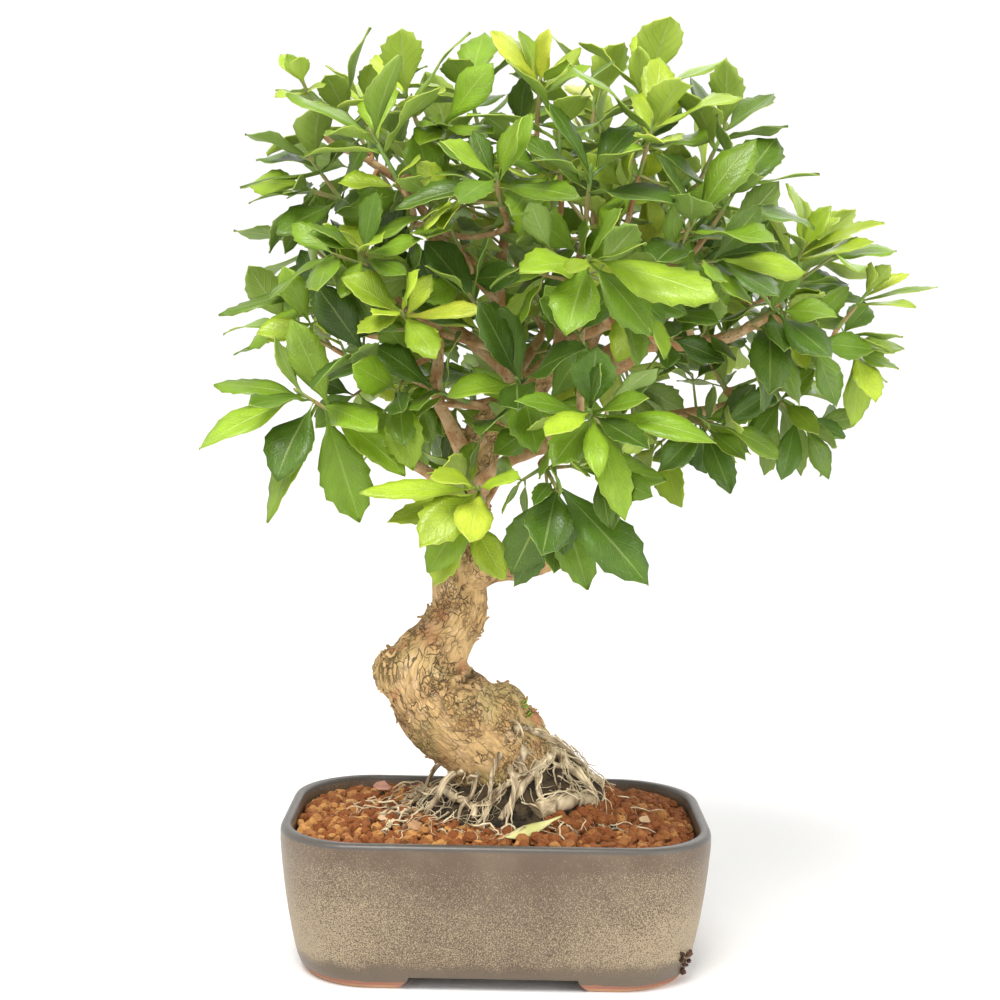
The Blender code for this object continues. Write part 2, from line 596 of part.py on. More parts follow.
def blade_point(leaf, t, s):
    """A point of the blade: t from stalk to tip, s from edge (-1) to edge (1)."""
    width = leaf["half"] * s
    rib = leaf["root"] + leaf["along"] * leaf["length"] * t
    rib -= leaf["up"] * leaf["droop"] * leaf["length"] * t * t
    lift = leaf["fold"] * abs(width)
    lift += leaf["wave"] * leaf["half"] * s * math.sin(math.pi * 2 * t + leaf["phase"])
    return rib + leaf["side"] * width + leaf["up"] * lift


def blade_shape(leaf, margin=0.0):
    """Points and triangles of one blade: a thin lens with a toothed edge."""
    half = BLADE_HALF + margin
    points = []
    edges = []
    outline = OWN_EDGE if leaf["own"] and leaf["half"] > 0.0085 else EDGE
    for sign in (-1, 1):
        row = []
        for t, share in outline:
            stalk = (STALK_HALF + margin) / (leaf["half"] + margin)
            across = max(share * (1 + margin / leaf["half"]), stalk)
            row.append(len(points))
            points.append(blade_point(leaf, t, sign * across))
        edges.append(row)
    tip = len(points)
    points.append(blade_point(leaf, 1.0 + margin / leaf["length"], 0.0))
    top, low, keel = tip + 1, tip + 2, tip + 3
    middle = blade_point(leaf, RIB, 0.0)
    points += [middle + leaf["up"] * half, middle - leaf["up"] * half]
    points.append(blade_point(leaf, 0.0, 0.0) - leaf["up"] * half * 1.8)
    ring = edges[0] + [tip] + edges[1][::-1]
    triangles = []
    for start, end in zip(ring, ring[1:]):
        triangles += [(start, end, top), (end, start, low)]
    left, right = ring[0], ring[-1]
    triangles += [(right, left, top), (left, right, keel), (left, keel, low), (keel, right, low)]
    return points, triangles


def new_leaf(root, tip, width, sky, rng, own=False):
    """A leaf from its root on the stem to its tip, with its upper face to sky."""
    along = (tip - root).normalized()
    up = sky - along * sky.dot(along)
    up.normalize()
    droop = rng.uniform(0.02, 0.16)
    length = (tip - root).length
    aim = along * length + up * droop * length
    along = aim.normalized()
    up = (up - along * up.dot(along)).normalized()
    return {"root": root + along * 0.0002, "along": along, "up": up,
            "side": along.cross(up), "length": length, "half": width / 2,
            "droop": droop, "fold": rng.uniform(0.05, 0.35),
            "wave": rng.uniform(0.0, 0.16), "phase": rng.uniform(0, 6.28), "own": own}


def prism(start, end, radius):
    """A four-sided bar round a straight run of wood."""
    along = (end - start).normalized()
    side = along.orthogonal().normalized()
    up = along.cross(side)
    points = []
    for middle in (start, end):
        for direction in (side, up, -side, -up):
            points.append(middle + direction * radius)
    faces = [(i, (i + 1) % 4, 4 + (i + 1) % 4, 4 + i) for i in range(4)]
    faces += [(3, 2, 1, 0), (4, 5, 6, 7)]
    return points, faces


def bars(path, radii, margin):
    """One search tree round a whole run of wood."""
    points, faces = [], []
    for start, end, radius in zip(path, path[1:], radii):
        more, shapes = prism(start, end, (radius + margin) * 1.2)
        faces += [tuple(i + len(points) for i in shape) for shape in shapes]
        points += more
    return BVHTree.FromPolygons(points, faces)


def plan_sprays():
    """All leafy stems with their leaves, placed so that no two stems' leaves meet."""
    sprays = []
    for name, base, tip, pairs, length, age, own in FRONT_STEMS:
        sprays.append({"name": name, "stem": [Vector(base), Vector(tip)], "pairs": pairs,
                       "size": length, "age": age, "own": own})
    for name, tip, reach, pairs, length, age in OPEN_STEMS:
        tip = Vector(tip)
        out = (tip - CROWN_HEART).normalized()
        out = (out + Vector((0.0, 0.0, 0.35))).normalized()
        sprays.append({"name": name, "stem": [tip - out * reach, tip], "pairs": pairs,
                       "size": length, "age": age, "own": []})
    wood = []
    for name, table in [("trunk", TRUNK)] + list(LIMBS.items()):
        path, radii = limb_path(table, 3)
        wood.append((name, bars(path, radii, 0.0012)))
    for spray in sprays:
        place_stem(spray, wood)
    stems = [item for item in wood if item[0].endswith(" stem")]
    segments = limb_segments()
    for spray in sprays:
        place_twig(spray, segments, stems, wood)
    taken = []
    for spray in sprays:
        place_leaves(spray, wood, taken)
    return sprays


def place_stem(spray, wood):
    """Turn the stem about its tip until it is clear of all wood so far."""
    rng = random.Random(spray["name"] + "stem")
    base, tip = spray["stem"]
    for attempt in range(40):
        wander = Vector((rng.gauss(0, 1), rng.gauss(0, 1), rng.gauss(0, 1)))
        start = base + wander * 0.0006 * attempt
        bar = bars([start, tip], [STEM_RADIUS], 0.0007)
        if not any(bar.overlap(other) for _, other in wood):
            break
    spray["stem"] = [start, tip]
    wood.append((spray["name"] + " stem", bar))


def place_twig(spray, segments, stems, wood):
    """Sway the twig that carries the stem until it is clear of the other stems."""
    rng = random.Random(spray["name"] + "twig")
    for attempt in range(40):
        wander = Vector((rng.gauss(0, 1), rng.gauss(0, 1), rng.gauss(0, 1)))
        sway = Vector((0.0, 0.0, -0.08)) + wander * 0.012 * attempt
        path, radii = twig_path(spray["stem"], segments, sway)
        bar = bars(path, radii, 0.0004)
        own = spray["name"] + " stem"
        if not any(name != own and bar.overlap(other) for name, other in stems):
            break
    spray["twig"] = (path, radii)
    wood.append((spray["name"], bars(path, radii, 0.0008)))


def fits(leaf, spray, wood, taken):
    """True if the leaf's blade is clear of all wood and of every other blade."""
    points, faces = blade_shape(leaf, 0.0006)
    tree = BVHTree.FromPolygons(points, faces)
    for name, bar in wood:
        if name != spray["name"] + " stem" and tree.overlap(bar):
            return False
    middle = leaf["root"] + leaf["along"] * leaf["length"] / 2
    for owner, centre, reach, other in taken:
        near = (middle - centre).length < (leaf["length"] + reach) / 2 + 0.004
        if near and owner is not spray and tree.overlap(other):
            return False
        if near and owner is spray and tree.overlap(other):
            inner = BVHTree.FromPolygons(*outer_half(leaf))
            if inner.overlap(other):
                return False
    taken.append((spray, middle, leaf["length"], tree))
    spray["leaves"].append(leaf)
    return True


def outer_half(leaf):
    """The blade beyond its stalk, as a small fan of triangles."""
    points = [blade_point(leaf, 0.22, 0.0), blade_point(leaf, 0.5, -1.0),
              blade_point(leaf, 0.75, -0.75), blade_point(leaf, 1.0, 0.0),
              blade_point(leaf, 0.75, 0.75), blade_point(leaf, 0.5, 1.0)]
    return points, [(0, 1, 2), (0, 2, 3), (0, 3, 4), (0, 4, 5)]


def place_leaves(spray, wood, taken):
    """Put the spray's own leaves on first, then its pairs from base to tip."""
    rng = random.Random(SEED + sum(ord(letter) for letter in spray["name"]))
    base, tip, along = stem_frame(spray)
    spray["leaves"] = []
    own = spray["own"]
    for i, (end, width) in enumerate(own):
        share = 0.94 - 0.42 * i / max(len(own), 1)
        for attempt in range(10):
            root = base.lerp(tip, share - 0.03 * (attempt % 3))
            wander = Vector((rng.gauss(0, 1), rng.gauss(0, 1), rng.gauss(0, 1)))
            target = Vector(end) + wander * 0.0022 * attempt
            sky = Vector((0.0, -0.55, 0.75)) + along * 0.35 + wander * 0.05 * attempt
            leaf = new_leaf(root, target, width, sky, rng, own=True)
            if fits(leaf, spray, wood, taken):
                break
    spin = rng.uniform(0, math.pi)
    across = along.orthogonal().normalized()
    for pair in range(spray["pairs"]):
        up_share = (pair + 1) / spray["pairs"]
        root = base.lerp(tip, 0.30 + 0.66 * up_share ** 0.7)
        for half_turn in (0, 1):
            for attempt in range(14):
                jitter = 0.10 + 0.07 * attempt
                turn = spin + math.pi / 2 * pair + math.pi * half_turn
                turn += rng.uniform(-1, 1) * jitter
                lean = math.radians(78 - 36 * up_share) + rng.uniform(-1, 1) * jitter
                size = spray["size"] * rng.uniform(0.86, 1.14) * (1 - 0.020 * attempt)
                size *= 1 - 0.15 * up_share
                outward = Matrix.Rotation(turn, 3, along) @ across
                aim = along * math.cos(lean) + outward * math.sin(lean)
                aim.z -= 0.22 * (1 - up_share)
                end = root + aim.normalized() * size
                sky = along * 0.8 + Vector((0.0, 0.0, 0.6))
                width = size * rng.uniform(0.42, 0.52)
                leaf = new_leaf(root, end, width, sky, rng)
                if fits(leaf, spray, wood, taken):
                    break


def make_leaf(leaf, name, collection):
    points, triangles = blade_shape(leaf)
    bm = bmesh.new()
    verts = [bm.verts.new(point) for point in points]
    for triangle in triangles:
        bm.faces.new([verts[i] for i in triangle])
    return mesh_object(name, bm, collection)


def make_spray(spray, collection):
    """One leafy stem with its leaves grown onto it."""
    base, tip, along = stem_frame(spray)
    radii = [STEM_RADIUS, STEM_RADIUS * 0.85]
    stem = tube("leafy_stem_" + spray["name"], [base, tip], radii, 0, collection)
    leaves = new_collection("blades_" + spray["name"])
    for i, leaf in enumerate(spray["leaves"]):
        make_leaf(leaf, f"blade_{i}", leaves)
    boolean(stem, leaves, "UNION", "MANIFOLD")
    stem.data.materials.append(material("leaf_" + spray["age"]))
    return stem


def make_tree(sprays, collection):
    """Roots, trunk, limbs and twigs as one grown piece of wood."""
    path, radii = limb_path(TRUNK, 2)
    path, radii = path[:14] + path[14::2], radii[:14] + radii[14::2]
    tree = tube("tree", path, radii, 4, collection)
    weather(tree, 0.0010, 140)
    branches = new_collection("branches")
    mound(branches)
    for i in range(ROOT_COUNT):
        path, radii = root_path(i)
        tube(f"root_{i}", path, radii, 0, branches)
    for i, (middle, radius) in enumerate(KNOTS):
        bm = bmesh.new()
        spot = Matrix.Translation(middle)
        bmesh.ops.create_icosphere(bm, subdivisions=1, radius=radius, matrix=spot)
        knot = mesh_object(f"knot_{i}", bm, branches)
        weather(knot, 0.0008, 300)
    for name, table in LIMBS.items():
        path, radii = in_line(table)
        sides = 2 if name == "stump" else 1 if name in SIX_SIDED else 0
        tube(name, path, radii, sides, branches)
    for spray in sprays:
        path, radii = spray["twig"]
        tube("twig_" + spray["name"], path, radii, 0, branches)
    boolean(tree, branches, "UNION", "MANIFOLD")
    tree.data.materials.append(material("bark"))
    return tree


def settle_on_origin(things):
    """Shift the plant so that the origin is under the middle of its box."""
    lows, highs = [math.inf] * 2, [-math.inf] * 2
    for thing in things:
        for vertex in thing.data.vertices:
            for axis in range(2):
                lows[axis] = min(lows[axis], vertex.co[axis])
                highs[axis] = max(highs[axis], vertex.co[axis])
    shift = Vector((-(lows[0] + highs[0]) / 2, -(lows[1] + highs[1]) / 2, 0.0))
    for thing in things:
        thing.data.transform(Matrix.Translation(shift))


def build():
    clear_scene()
    collection = new_collection("golden_dewdrop_bonsai")
    sprays = plan_sprays()
    things = [make_pot(collection), make_soil(collection), make_tree(sprays, collection)]
    things += [make_spray(spray, collection) for spray in sprays]
    settle_on_origin(things)


build()
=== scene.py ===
"""The looks of a golden dewdrop bonsai in its glazed pot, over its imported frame."""
import math
import random

import bpy
from bpy.props import FloatProperty, FloatVectorProperty, IntProperty, PointerProperty
from mathutils import Matrix, Vector, noise
from mathutils.bvhtree import BVHTree
from mathutils.geometry import intersect_point_line
from mathutils.kdtree import KDTree


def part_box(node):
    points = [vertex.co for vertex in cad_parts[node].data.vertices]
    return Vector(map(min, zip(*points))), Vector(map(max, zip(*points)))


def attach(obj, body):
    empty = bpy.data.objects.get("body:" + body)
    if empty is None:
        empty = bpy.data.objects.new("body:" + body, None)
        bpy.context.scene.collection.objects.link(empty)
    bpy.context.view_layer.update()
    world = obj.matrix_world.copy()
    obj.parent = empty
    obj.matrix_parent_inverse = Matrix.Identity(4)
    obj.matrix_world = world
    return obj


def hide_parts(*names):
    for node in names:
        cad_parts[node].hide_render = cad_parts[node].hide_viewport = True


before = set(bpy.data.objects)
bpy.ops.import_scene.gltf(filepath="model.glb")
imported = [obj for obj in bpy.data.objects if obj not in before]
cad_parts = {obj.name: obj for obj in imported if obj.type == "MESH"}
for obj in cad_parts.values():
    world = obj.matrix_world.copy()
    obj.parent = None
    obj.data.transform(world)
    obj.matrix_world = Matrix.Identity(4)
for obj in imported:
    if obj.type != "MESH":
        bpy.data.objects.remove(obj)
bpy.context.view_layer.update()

bl_info = {"name": "Golden Dewdrop Bonsai", "version": (1, 0, 0), "blender": (4, 5, 0),
    "location": "View3D > Sidebar > Bonsai",
    "description": "Dresses the bonsai's packed solids with leaves, bark, grains and glaze",
    "category": "Object",}


def metres(table):
    """A nested table of millimetres as the same table of metres."""
    if isinstance(table, dict):
        return {name: metres(row) for name, row in table.items()}
    if isinstance(table, (list, tuple)):
        return type(table)(metres(item) for item in table)
    return round(table / 1000, 8)


# The pot stands round its own middle, which is where the plant was laid out
POT_LOW, POT_HIGH = (Vector(corner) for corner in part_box("pot"))
SHIFT = Vector(((POT_LOW.x + POT_HIGH.x) / 2, (POT_LOW.y + POT_HIGH.y) / 2, 0.0))

# The pot's driving sizes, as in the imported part
RIM_WIDTH = 0.215
RIM_DEPTH = 0.143
POT_HEIGHT = 0.074
CORNER_RADIUS = 0.0445
WALL = 0.0053
FOOT_HEIGHT = 0.0065
FOOT_GAP_FRONT = 0.088
FOOT_GAP_SIDE = 0.048
FOOT_WIDTH = 0.014
# Inset from the rim's outline, and height, up the outside and over the lip
POT_OUTSIDE = [(0.0130, 0.0), (0.0122, 0.0012), (0.0100, 0.004), (0.0083, 0.0085), (0.0070, 0.014),
    (0.0054, 0.022), (0.0040, 0.030), (0.0023, 0.042), (0.0010, 0.054), (0.0003, 0.062),
    (0.0, 0.066)]
POT_LIP = [(0.0, 0.0712), (0.0003, 0.0726), (0.0011, 0.0736), (0.0023, 0.0740), (0.0038, 0.0740),
    (0.0047, 0.0735), (WALL, 0.0724), (WALL, 0.066), (WALL + 0.001, 0.050), (WALL + 0.004, 0.030),
    (WALL + 0.008, 0.0150)]
SOIL_BELOW_RIM = 0.0065
SOIL_CROWN = 0.006

# The root mound that carries the trunk
MOUND_CENTRE = Vector((0.009, 0.004, 0.0))
MOUND_RADIUS = (0.057, 0.040)
MOUND_FOOT = 0.052
MOUND_SOIL_LINE = 0.071
MOUND_TOP = 0.112

# Trunk and limbs: centre line points with the radius at each, in millimetres
TRUNK = metres([(13, 8, 80, 27), (4, 7, 96, 28.5), (-10, 2, 113, 25.5), (-29, -4, 131, 24),
    (-38, -6, 148, 22.5), (-28, -2, 163, 17.5), (-20, 2, 177, 14.8), (-21, 4, 192, 14),
    (-19, 8, 213, 13.2), (-16, 14, 243, 11.8), (-7, 18, 269, 10.5), (13, 20, 291, 8.5),
    (27, 22, 303, 6)])
LIMBS = metres({
    "arch": [(24, 22, 300, 5), (29, 20, 316, 3.8), (26, 20, 332, 3.2), (14, 19, 346, 3),
        (-10, 10, 354, 2.7), (-28, 0, 360, 2.4), (-46, -16, 372, 1.9)],
    "leader": [(8, 20, 286, 5), (0, 20, 306, 3.8), (-3, 20, 341, 3), (-1, 18, 368, 2.6),
        (5, 14, 398, 2.2), (8, 8, 420, 1.8)],
    "right": [(20, 22, 298, 5.5), (44, 10, 302, 4.7), (59, 0, 304, 4.2), (71, -10, 314, 4),
        (93, -10, 315, 3.5), (113, -5, 319, 3), (133, 0, 330, 2.4)],
    "cut_spur": [(24, 20, 302, 4.5), (34, 8, 315, 3.2), (47, -10, 322, 2.9), (60, -22, 327, 2.7),
        (77, -30, 329, 2.6), (89, -35, 336, 2.4)],
    "riser": [(36, 14, 300, 4.5), (46, 20, 318, 3.4), (51, 22, 340, 2.8), (52, 28, 374, 2.4),
        (56, 22, 408, 2)],
    "low_right": [(-8, 18, 262, 6), (28, 32, 268, 4), (70, 38, 275, 3.3), (110, 44, 281, 2.7),
        (138, 50, 289, 2.2)],
    "left": [(-17, 12, 252, 5.5), (-27, 0, 272, 3.6), (-34, -10, 288, 3), (-33, -12, 304, 2.8),
        (-33, -12, 322, 2.2)],
    "low_left": [(-19, 6, 226, 6), (-30, -12, 243, 3.6), (-46, -30, 255, 2.8),
        (-58, -40, 264, 2.2)],
    "high_left": [(-3, 20, 336, 3.2), (-30, 14, 362, 2.6), (-50, 6, 390, 2.2), (-70, 2, 404, 1.9)],
    "front": [(-14, 8, 236, 6), (-2, -20, 252, 3.6), (16, -44, 262, 3), (36, -66, 268, 2.4)],
    "stump": [(-18, 0, 193, 9.5), (-2, -10, 200, 7.8), (14, -19, 205, 6.8), (29, -24, 212, 6)],
    "back": [(-6, 18, 268, 6), (2, 44, 288, 3.8), (12, 72, 306, 3), (22, 92, 322, 2.2)],
    "back_left": [(2, 20, 300, 4.5), (-26, 40, 322, 3.2), (-56, 56, 346, 2.6),
        (-78, 62, 364, 2.1)],
    "back_right": [(44, 12, 303, 4.5), (72, 40, 322, 3.2), (100, 58, 342, 2.6),
        (120, 64, 358, 2.1)],
})

# Thick roots that run down over the mound, and knots on the trunk, in millimetres
ROOT_COUNT = 11
KNOTS = metres([((-51, -12, 146), 14), ((-16, -19, 133), 7.5), ((-2, -1, 113), 21),
    ((-34, -20, 160), 7), ((-26, -8, 190), 8)])

# Leafy stems. Each has its tip, its length, how many leaf pairs it carries, the
# length of its leaves and their age. Stems lean away from the heart of the crown.
# Lengths in both tables of stems are in millimetres.
CROWN_HEART = Vector((0.030, 0.010, 0.300))
STEM_RADIUS = 0.0012
BLADE_HALF = 0.00036
OPEN_STEMS = [
    ("top_left", (-83, 8, 430), 24, 3, 45, "mid"),
    ("left_crown", (-64, -56, 410), 26, 3, 47, "mid"),
    ("left_top_a", (-50, -26, 432), 26, 3, 47, "young"),
    ("left_top_b", (-20, -4, 440), 26, 3, 45, "mid"),
    ("right_top_a", (67, -66, 416), 26, 3, 49, "young"),
    ("right_top_b", (68, -16, 440), 26, 3, 47, "young"),
    ("top_middle", (44, 20, 442), 26, 3, 45, "young"),
    ("right_shoulder", (106, -18, 420), 28, 3, 47, "mid"),
    ("right_front", (108, -56, 388), 28, 3, 49, "old"),
    ("right_centre", (84, -86, 368), 26, 3, 49, "old"),
    ("right_low_back", (143, 62, 300), 24, 2, 45, "mid"),
    ("left_back_low", (-112, 12, 322), 26, 2, 47, "old"),
    ("left_inner", (-34, -50, 290), 24, 2, 45, "old"),
    ("centre_low", (6, -70, 296), 24, 3, 47, "old"),
    ("left_mid", (-16, -60, 334), 24, 2, 45, "old"),
    ("left_upper", (-34, -48, 380), 26, 3, 47, "mid"),
    ("left_edge", (-100, -2, 405), 26, 3, 47, "old"),
    ("left_face", (-66, -56, 306), 24, 2, 45, "old"),
    ("centre_upper", (38, -76, 392), 26, 3, 49, "old"),
    ("centre_high", (24, -46, 420), 26, 3, 47, "mid"),
    ("left_rear_high", (-70, 50, 408), 26, 2, 47, "old"),
    ("right_deep", (78, 66, 318), 24, 2, 45, "old"),
    ("rear_left_a", (-106, 50, 366), 28, 2, 47, "mid"),
    ("rear_left_b", (-74, 90, 346), 28, 2, 49, "old"),
    ("rear_left_c", (-30, 74, 420), 28, 3, 47, "mid"),
    ("rear_a", (-26, 112, 324), 28, 2, 49, "old"),
    ("rear_b", (0, 104, 382), 30, 3, 49, "mid"),
    ("rear_c", (32, 130, 340), 28, 2, 49, "old"),
    ("rear_d", (52, 84, 424), 30, 3, 47, "young"),
    ("rear_right_a", (80, 116, 366), 28, 3, 49, "mid"),
    ("rear_right_b", (110, 80, 402), 30, 3, 47, "mid"),
    ("rear_right_c", (140, 86, 340), 28, 2, 49, "old"),
    ("rear_right_d", (162, 44, 366), 30, 3, 45, "young"),
    ("rear_low", (24, 100, 284), 26, 2, 47, "old"),
    ("rear_low_left", (-52, 68, 292), 26, 2, 47, "old"),
]
# The front stems also carry leaves of their own, each with its tip and width
FRONT_STEMS = [
    ("front", (44, -85, 276), (38, -112, 283), 1, 38, "mid", [((40, -118, 311), 20),
        ((62, -128, 290), 12), ((91, -130, 273), 15), ((72, -135, 269), 12), ((41, -135, 257), 11),
        ((22, -125, 260), 17), ((6, -118, 288), 11), ((54, -120, 236), 16)]),
    ("low_rosette", (-9, -55, 238), (-11, -85, 246), 1, 36, "young", [((-64, -100, 244), 13),
        ((-36, -105, 222), 22), ((-14, -115, 226), 18), ((-52, -90, 230), 13), ((-34, -78, 206),
        20)]),
    ("low_hanging", (20, -75, 255), (25, -97, 247), 1, 36, "old", [((18, -122, 220), 22),
        ((5, -95, 208), 22), ((40, -92, 201), 21), ((65, -115, 207), 25), ((14, -120, 242), 8)]),
    ("left_low", (-63, -45, 267), (-97, -55, 288), 1, 34, "mid", [((-142, -70, 262), 20),
        ((-138, -50, 291), 18), ((-117, -80, 282), 18), ((-105, -75, 248), 24), ((-112, -62, 227),
        16), ((-58, -90, 273), 20), ((-68, -55, 227), 24), ((-46, -65, 251), 20),
        ((-102, -50, 322), 18)]),
    ("left_whorl", (-44, -50, 319), (-48, -72, 326), 2, 34, "young", [((-66, -95, 317), 12),
        ((-31, -95, 306), 16), ((-11, -85, 328), 12), ((-35, -65, 344), 12)]),
    ("left_high", (-64, -40, 348), (-69, -57, 355), 2, 36, "mid", [((-92, -65, 363), 12),
        ((-39, -75, 360), 13), ((-46, -85, 343), 12)]),
    ("centre_whorl", (-3, -65, 377), (-5, -90, 387), 1, 40, "mid", [((-30, -100, 401), 14),
        ((-50, -90, 372), 14), ((10, -90, 415), 12), ((31, -120, 375), 15)]),
    ("centre_right", (36, -90, 344), (36, -117, 350), 1, 34, "mid", [((89, -145, 333), 25),
        ((64, -120, 317), 20), ((26, -135, 317), 22), ((53, -145, 348), 12), ((7, -130, 344),
        22)]),
    ("top_shoot", (14, -10, 422), (15, -20, 440), 1, 30, "young", [((-8, -30, 463), 20),
        ((17, -35, 463), 14), ((35, -5, 461), 9), ((38, -30, 448), 11)]),
    ("top_left_shoot", (-94, -10, 423), (-101, -20, 439), 1, 22, "young", [((-109, -20, 452), 9),
        ((-90, -30, 435), 10), ((-113, -30, 430), 10)]),
    ("right_shoot", (140, 0, 342), (148, -10, 364), 1, 34, "young", [((138, -25, 393), 18),
        ((154, -20, 385), 12), ((183, -25, 376), 13), ((177, -35, 366), 12), ((128, -10, 389),
        10)]),
    ("far_right_shoot", (168, 0, 324), (183, 0, 343), 1, 22, "young", [((182, -10, 357), 8),
        ((203, 0, 353), 7), ((215, -10, 345), 7), ((202, -20, 336), 9)]),
    ("right_hanging", (163, 12, 320), (181, 12, 313), 1, 30, "young", [((180, 10, 275), 19),
        ((187, -10, 289), 17), ((200, 15, 289), 13), ((200, 2, 304), 12), ((207, 20, 316), 14)]),
    ("left_shoot", (-83, -5, 328), (-94, -20, 339), 1, 36, "mid", [((-139, -35, 326), 13),
        ((-129, -10, 310), 14)]),
    ("right_inner", (122, -20, 326), (129, -50, 331), 2, 36, "old", [((152, -70, 309), 21),
        ((124, -70, 292), 21)]),
    ("low_right_tip", (149, 50, 286), (161, 45, 274), 1, 32, "old", [((174, 40, 246), 13),
        ((183, 45, 268), 13), ((148, 35, 245), 15)]),
    ("low_right", (97, 20, 277), (103, 0, 273), 1, 34, "old", [((80, -10, 252), 15),
        ((115, -12, 241), 17), ((105, 12, 249), 18)]),
]
STEM_GAP = 0.0003
TWIG_RADIUS = 0.0013
LONG_TWIG = 0.045
SEED = 17
# Share of the blade's length and half width along one edge: stalk, belly, teeth
EDGE = [(0.0, 0.0), (0.34, 0.62), (0.60, 1.04), (0.70, 0.80)]
OWN_EDGE = [(0.0, 0.0), (0.30, 0.55), (0.56, 1.04), (0.66, 0.86), (0.82, 0.62)]
RIB = 0.50
STALK_HALF = 0.00062


def any_way(rng):
    """A random vector, most often about as long as 1."""
    return Vector((rng.gauss(0, 1), rng.gauss(0, 1), rng.gauss(0, 1)))


def wander(rng):
    """A random direction."""
    return any_way(rng).normalized()


def smooth_path(points, steps):
    """A Catmull-Rom curve through points, each given as a Vector of any size."""
    path = []
    last = len(points) - 1
    for i in range(last):
        before, start = points[max(i - 1, 0)], points[i]
        end, after = points[i + 1], points[min(i + 2, last)]
        for step in range(steps):
            t = step / steps
            path.append(0.5 * (2 * start + (end - before) * t + (2 * before - 5 * start + 4 * end
                    - after) * t ** 2 + (3 * start - before - 3 * end + after) * t ** 3))
    path.append(points[-1])
    return path


def limb_path(table, steps):
    path = smooth_path([Vector(row) for row in table], steps)
    return [point.xyz for point in path], [point.w for point in path]


def mound_outline(spread, z, count):
    """One ring round the root mound."""
    ring = []
    for i in range(count):
        angle = 2 * math.pi * i / count
        ripple = 1.0 + 0.05 * math.sin(3 * angle + 0.6) + 0.012 * math.sin(5 * angle)
        ring.append(MOUND_CENTRE + Vector((math.cos(angle) * (MOUND_RADIUS[0] * ripple + spread),
                math.sin(angle) * (MOUND_RADIUS[1] * ripple + spread), z)))
    return ring


def root_path(index):
    """A thick root that leaves the trunk's foot and dives into the mound."""
    rng = random.Random(SEED + index)
    angle = 2 * math.pi * (index + rng.uniform(-0.25, 0.25)) / ROOT_COUNT
    away = Vector((math.cos(angle), math.sin(angle), 0.0))
    across = Vector((-away.y, away.x, 0.0)) * rng.uniform(-0.010, 0.010)
    rim = MOUND_CENTRE + Vector((away.x * MOUND_RADIUS[0], away.y * MOUND_RADIUS[1], 0.0))
    start = Vector((0.006, 0.007, 0.112)) + away * 0.012
    shoulder = start.lerp(rim, 0.36) + across * 0.5
    shoulder.z = 0.1020
    knee = start.lerp(rim, 0.68) + across
    knee.z = 0.0880
    end = start.lerp(rim, 0.85) + across * 0.6
    end.z = 0.0745
    radius = rng.uniform(0.0026, 0.0042)
    path = [start, shoulder, knee, end]
    taper = [radius * (1.25 - 0.75 * i / (len(path) - 1)) for i in range(len(path))]
    return path, taper


def limb_segments():
    """Straight pieces of all limbs, for finding the nearest wood to a twig."""
    segments = []
    for name, table in LIMBS.items():
        if name in ("cut_spur", "stump"):
            continue
        path, radii = limb_path(table, 3)
        segments += list(zip(path, path[1:], radii))[2:]
    return segments


def nearest_wood(spot, segments):
    """Where a twig to spot leaves the limbs: the nearest point, best from below."""
    best = None
    for start, end, radius in segments:
        run = end - start
        share = max(0.0, min(1.0, (spot - start).dot(run) / run.length_squared))
        point = start + run * share
        cost = (spot - point).length + 0.6 * max(0.0, point.z - spot.z)
        if best is None or cost < best[0]:
            best = (cost, point, radius)
    return best[1], best[2]


def twig_path(stem, segments, sway):
    """Centre line and radii of the twig that carries a leafy stem."""
    along = (stem[1] - stem[0]).normalized()
    end = stem[0] - along * STEM_GAP
    start, limb_radius = nearest_wood(end, segments)
    reach = (end - start).length
    elbow = end - along * reach * 0.38
    bend = start.lerp(elbow, 0.55) + sway * reach
    path = [start, bend, elbow, end] if reach > LONG_TWIG else [start, elbow, end]
    first = min(limb_radius * 0.8, TWIG_RADIUS + reach * 0.010)
    radii = [first + (TWIG_RADIUS - first) * i / (len(path) - 1) for i in range(len(path))]
    return path, radii


def stem_frame(spray):
    base, tip = spray["stem"][0], spray["stem"][-1]
    return base, tip, (tip - base).normalized()


def blade_point(leaf, t, s):
    """A point of the blade: t from stalk to tip, s from edge (-1) to edge (1)."""
    width = leaf["half"] * s
    rib = leaf["root"] + leaf["along"] * leaf["length"] * t
    rib -= leaf["up"] * leaf["droop"] * leaf["length"] * t * t
    lift = leaf["fold"] * abs(width)
    lift += leaf["wave"] * leaf["half"] * s * math.sin(math.pi * 2 * t + leaf["phase"])
    return rib + leaf["side"] * width + leaf["up"] * lift


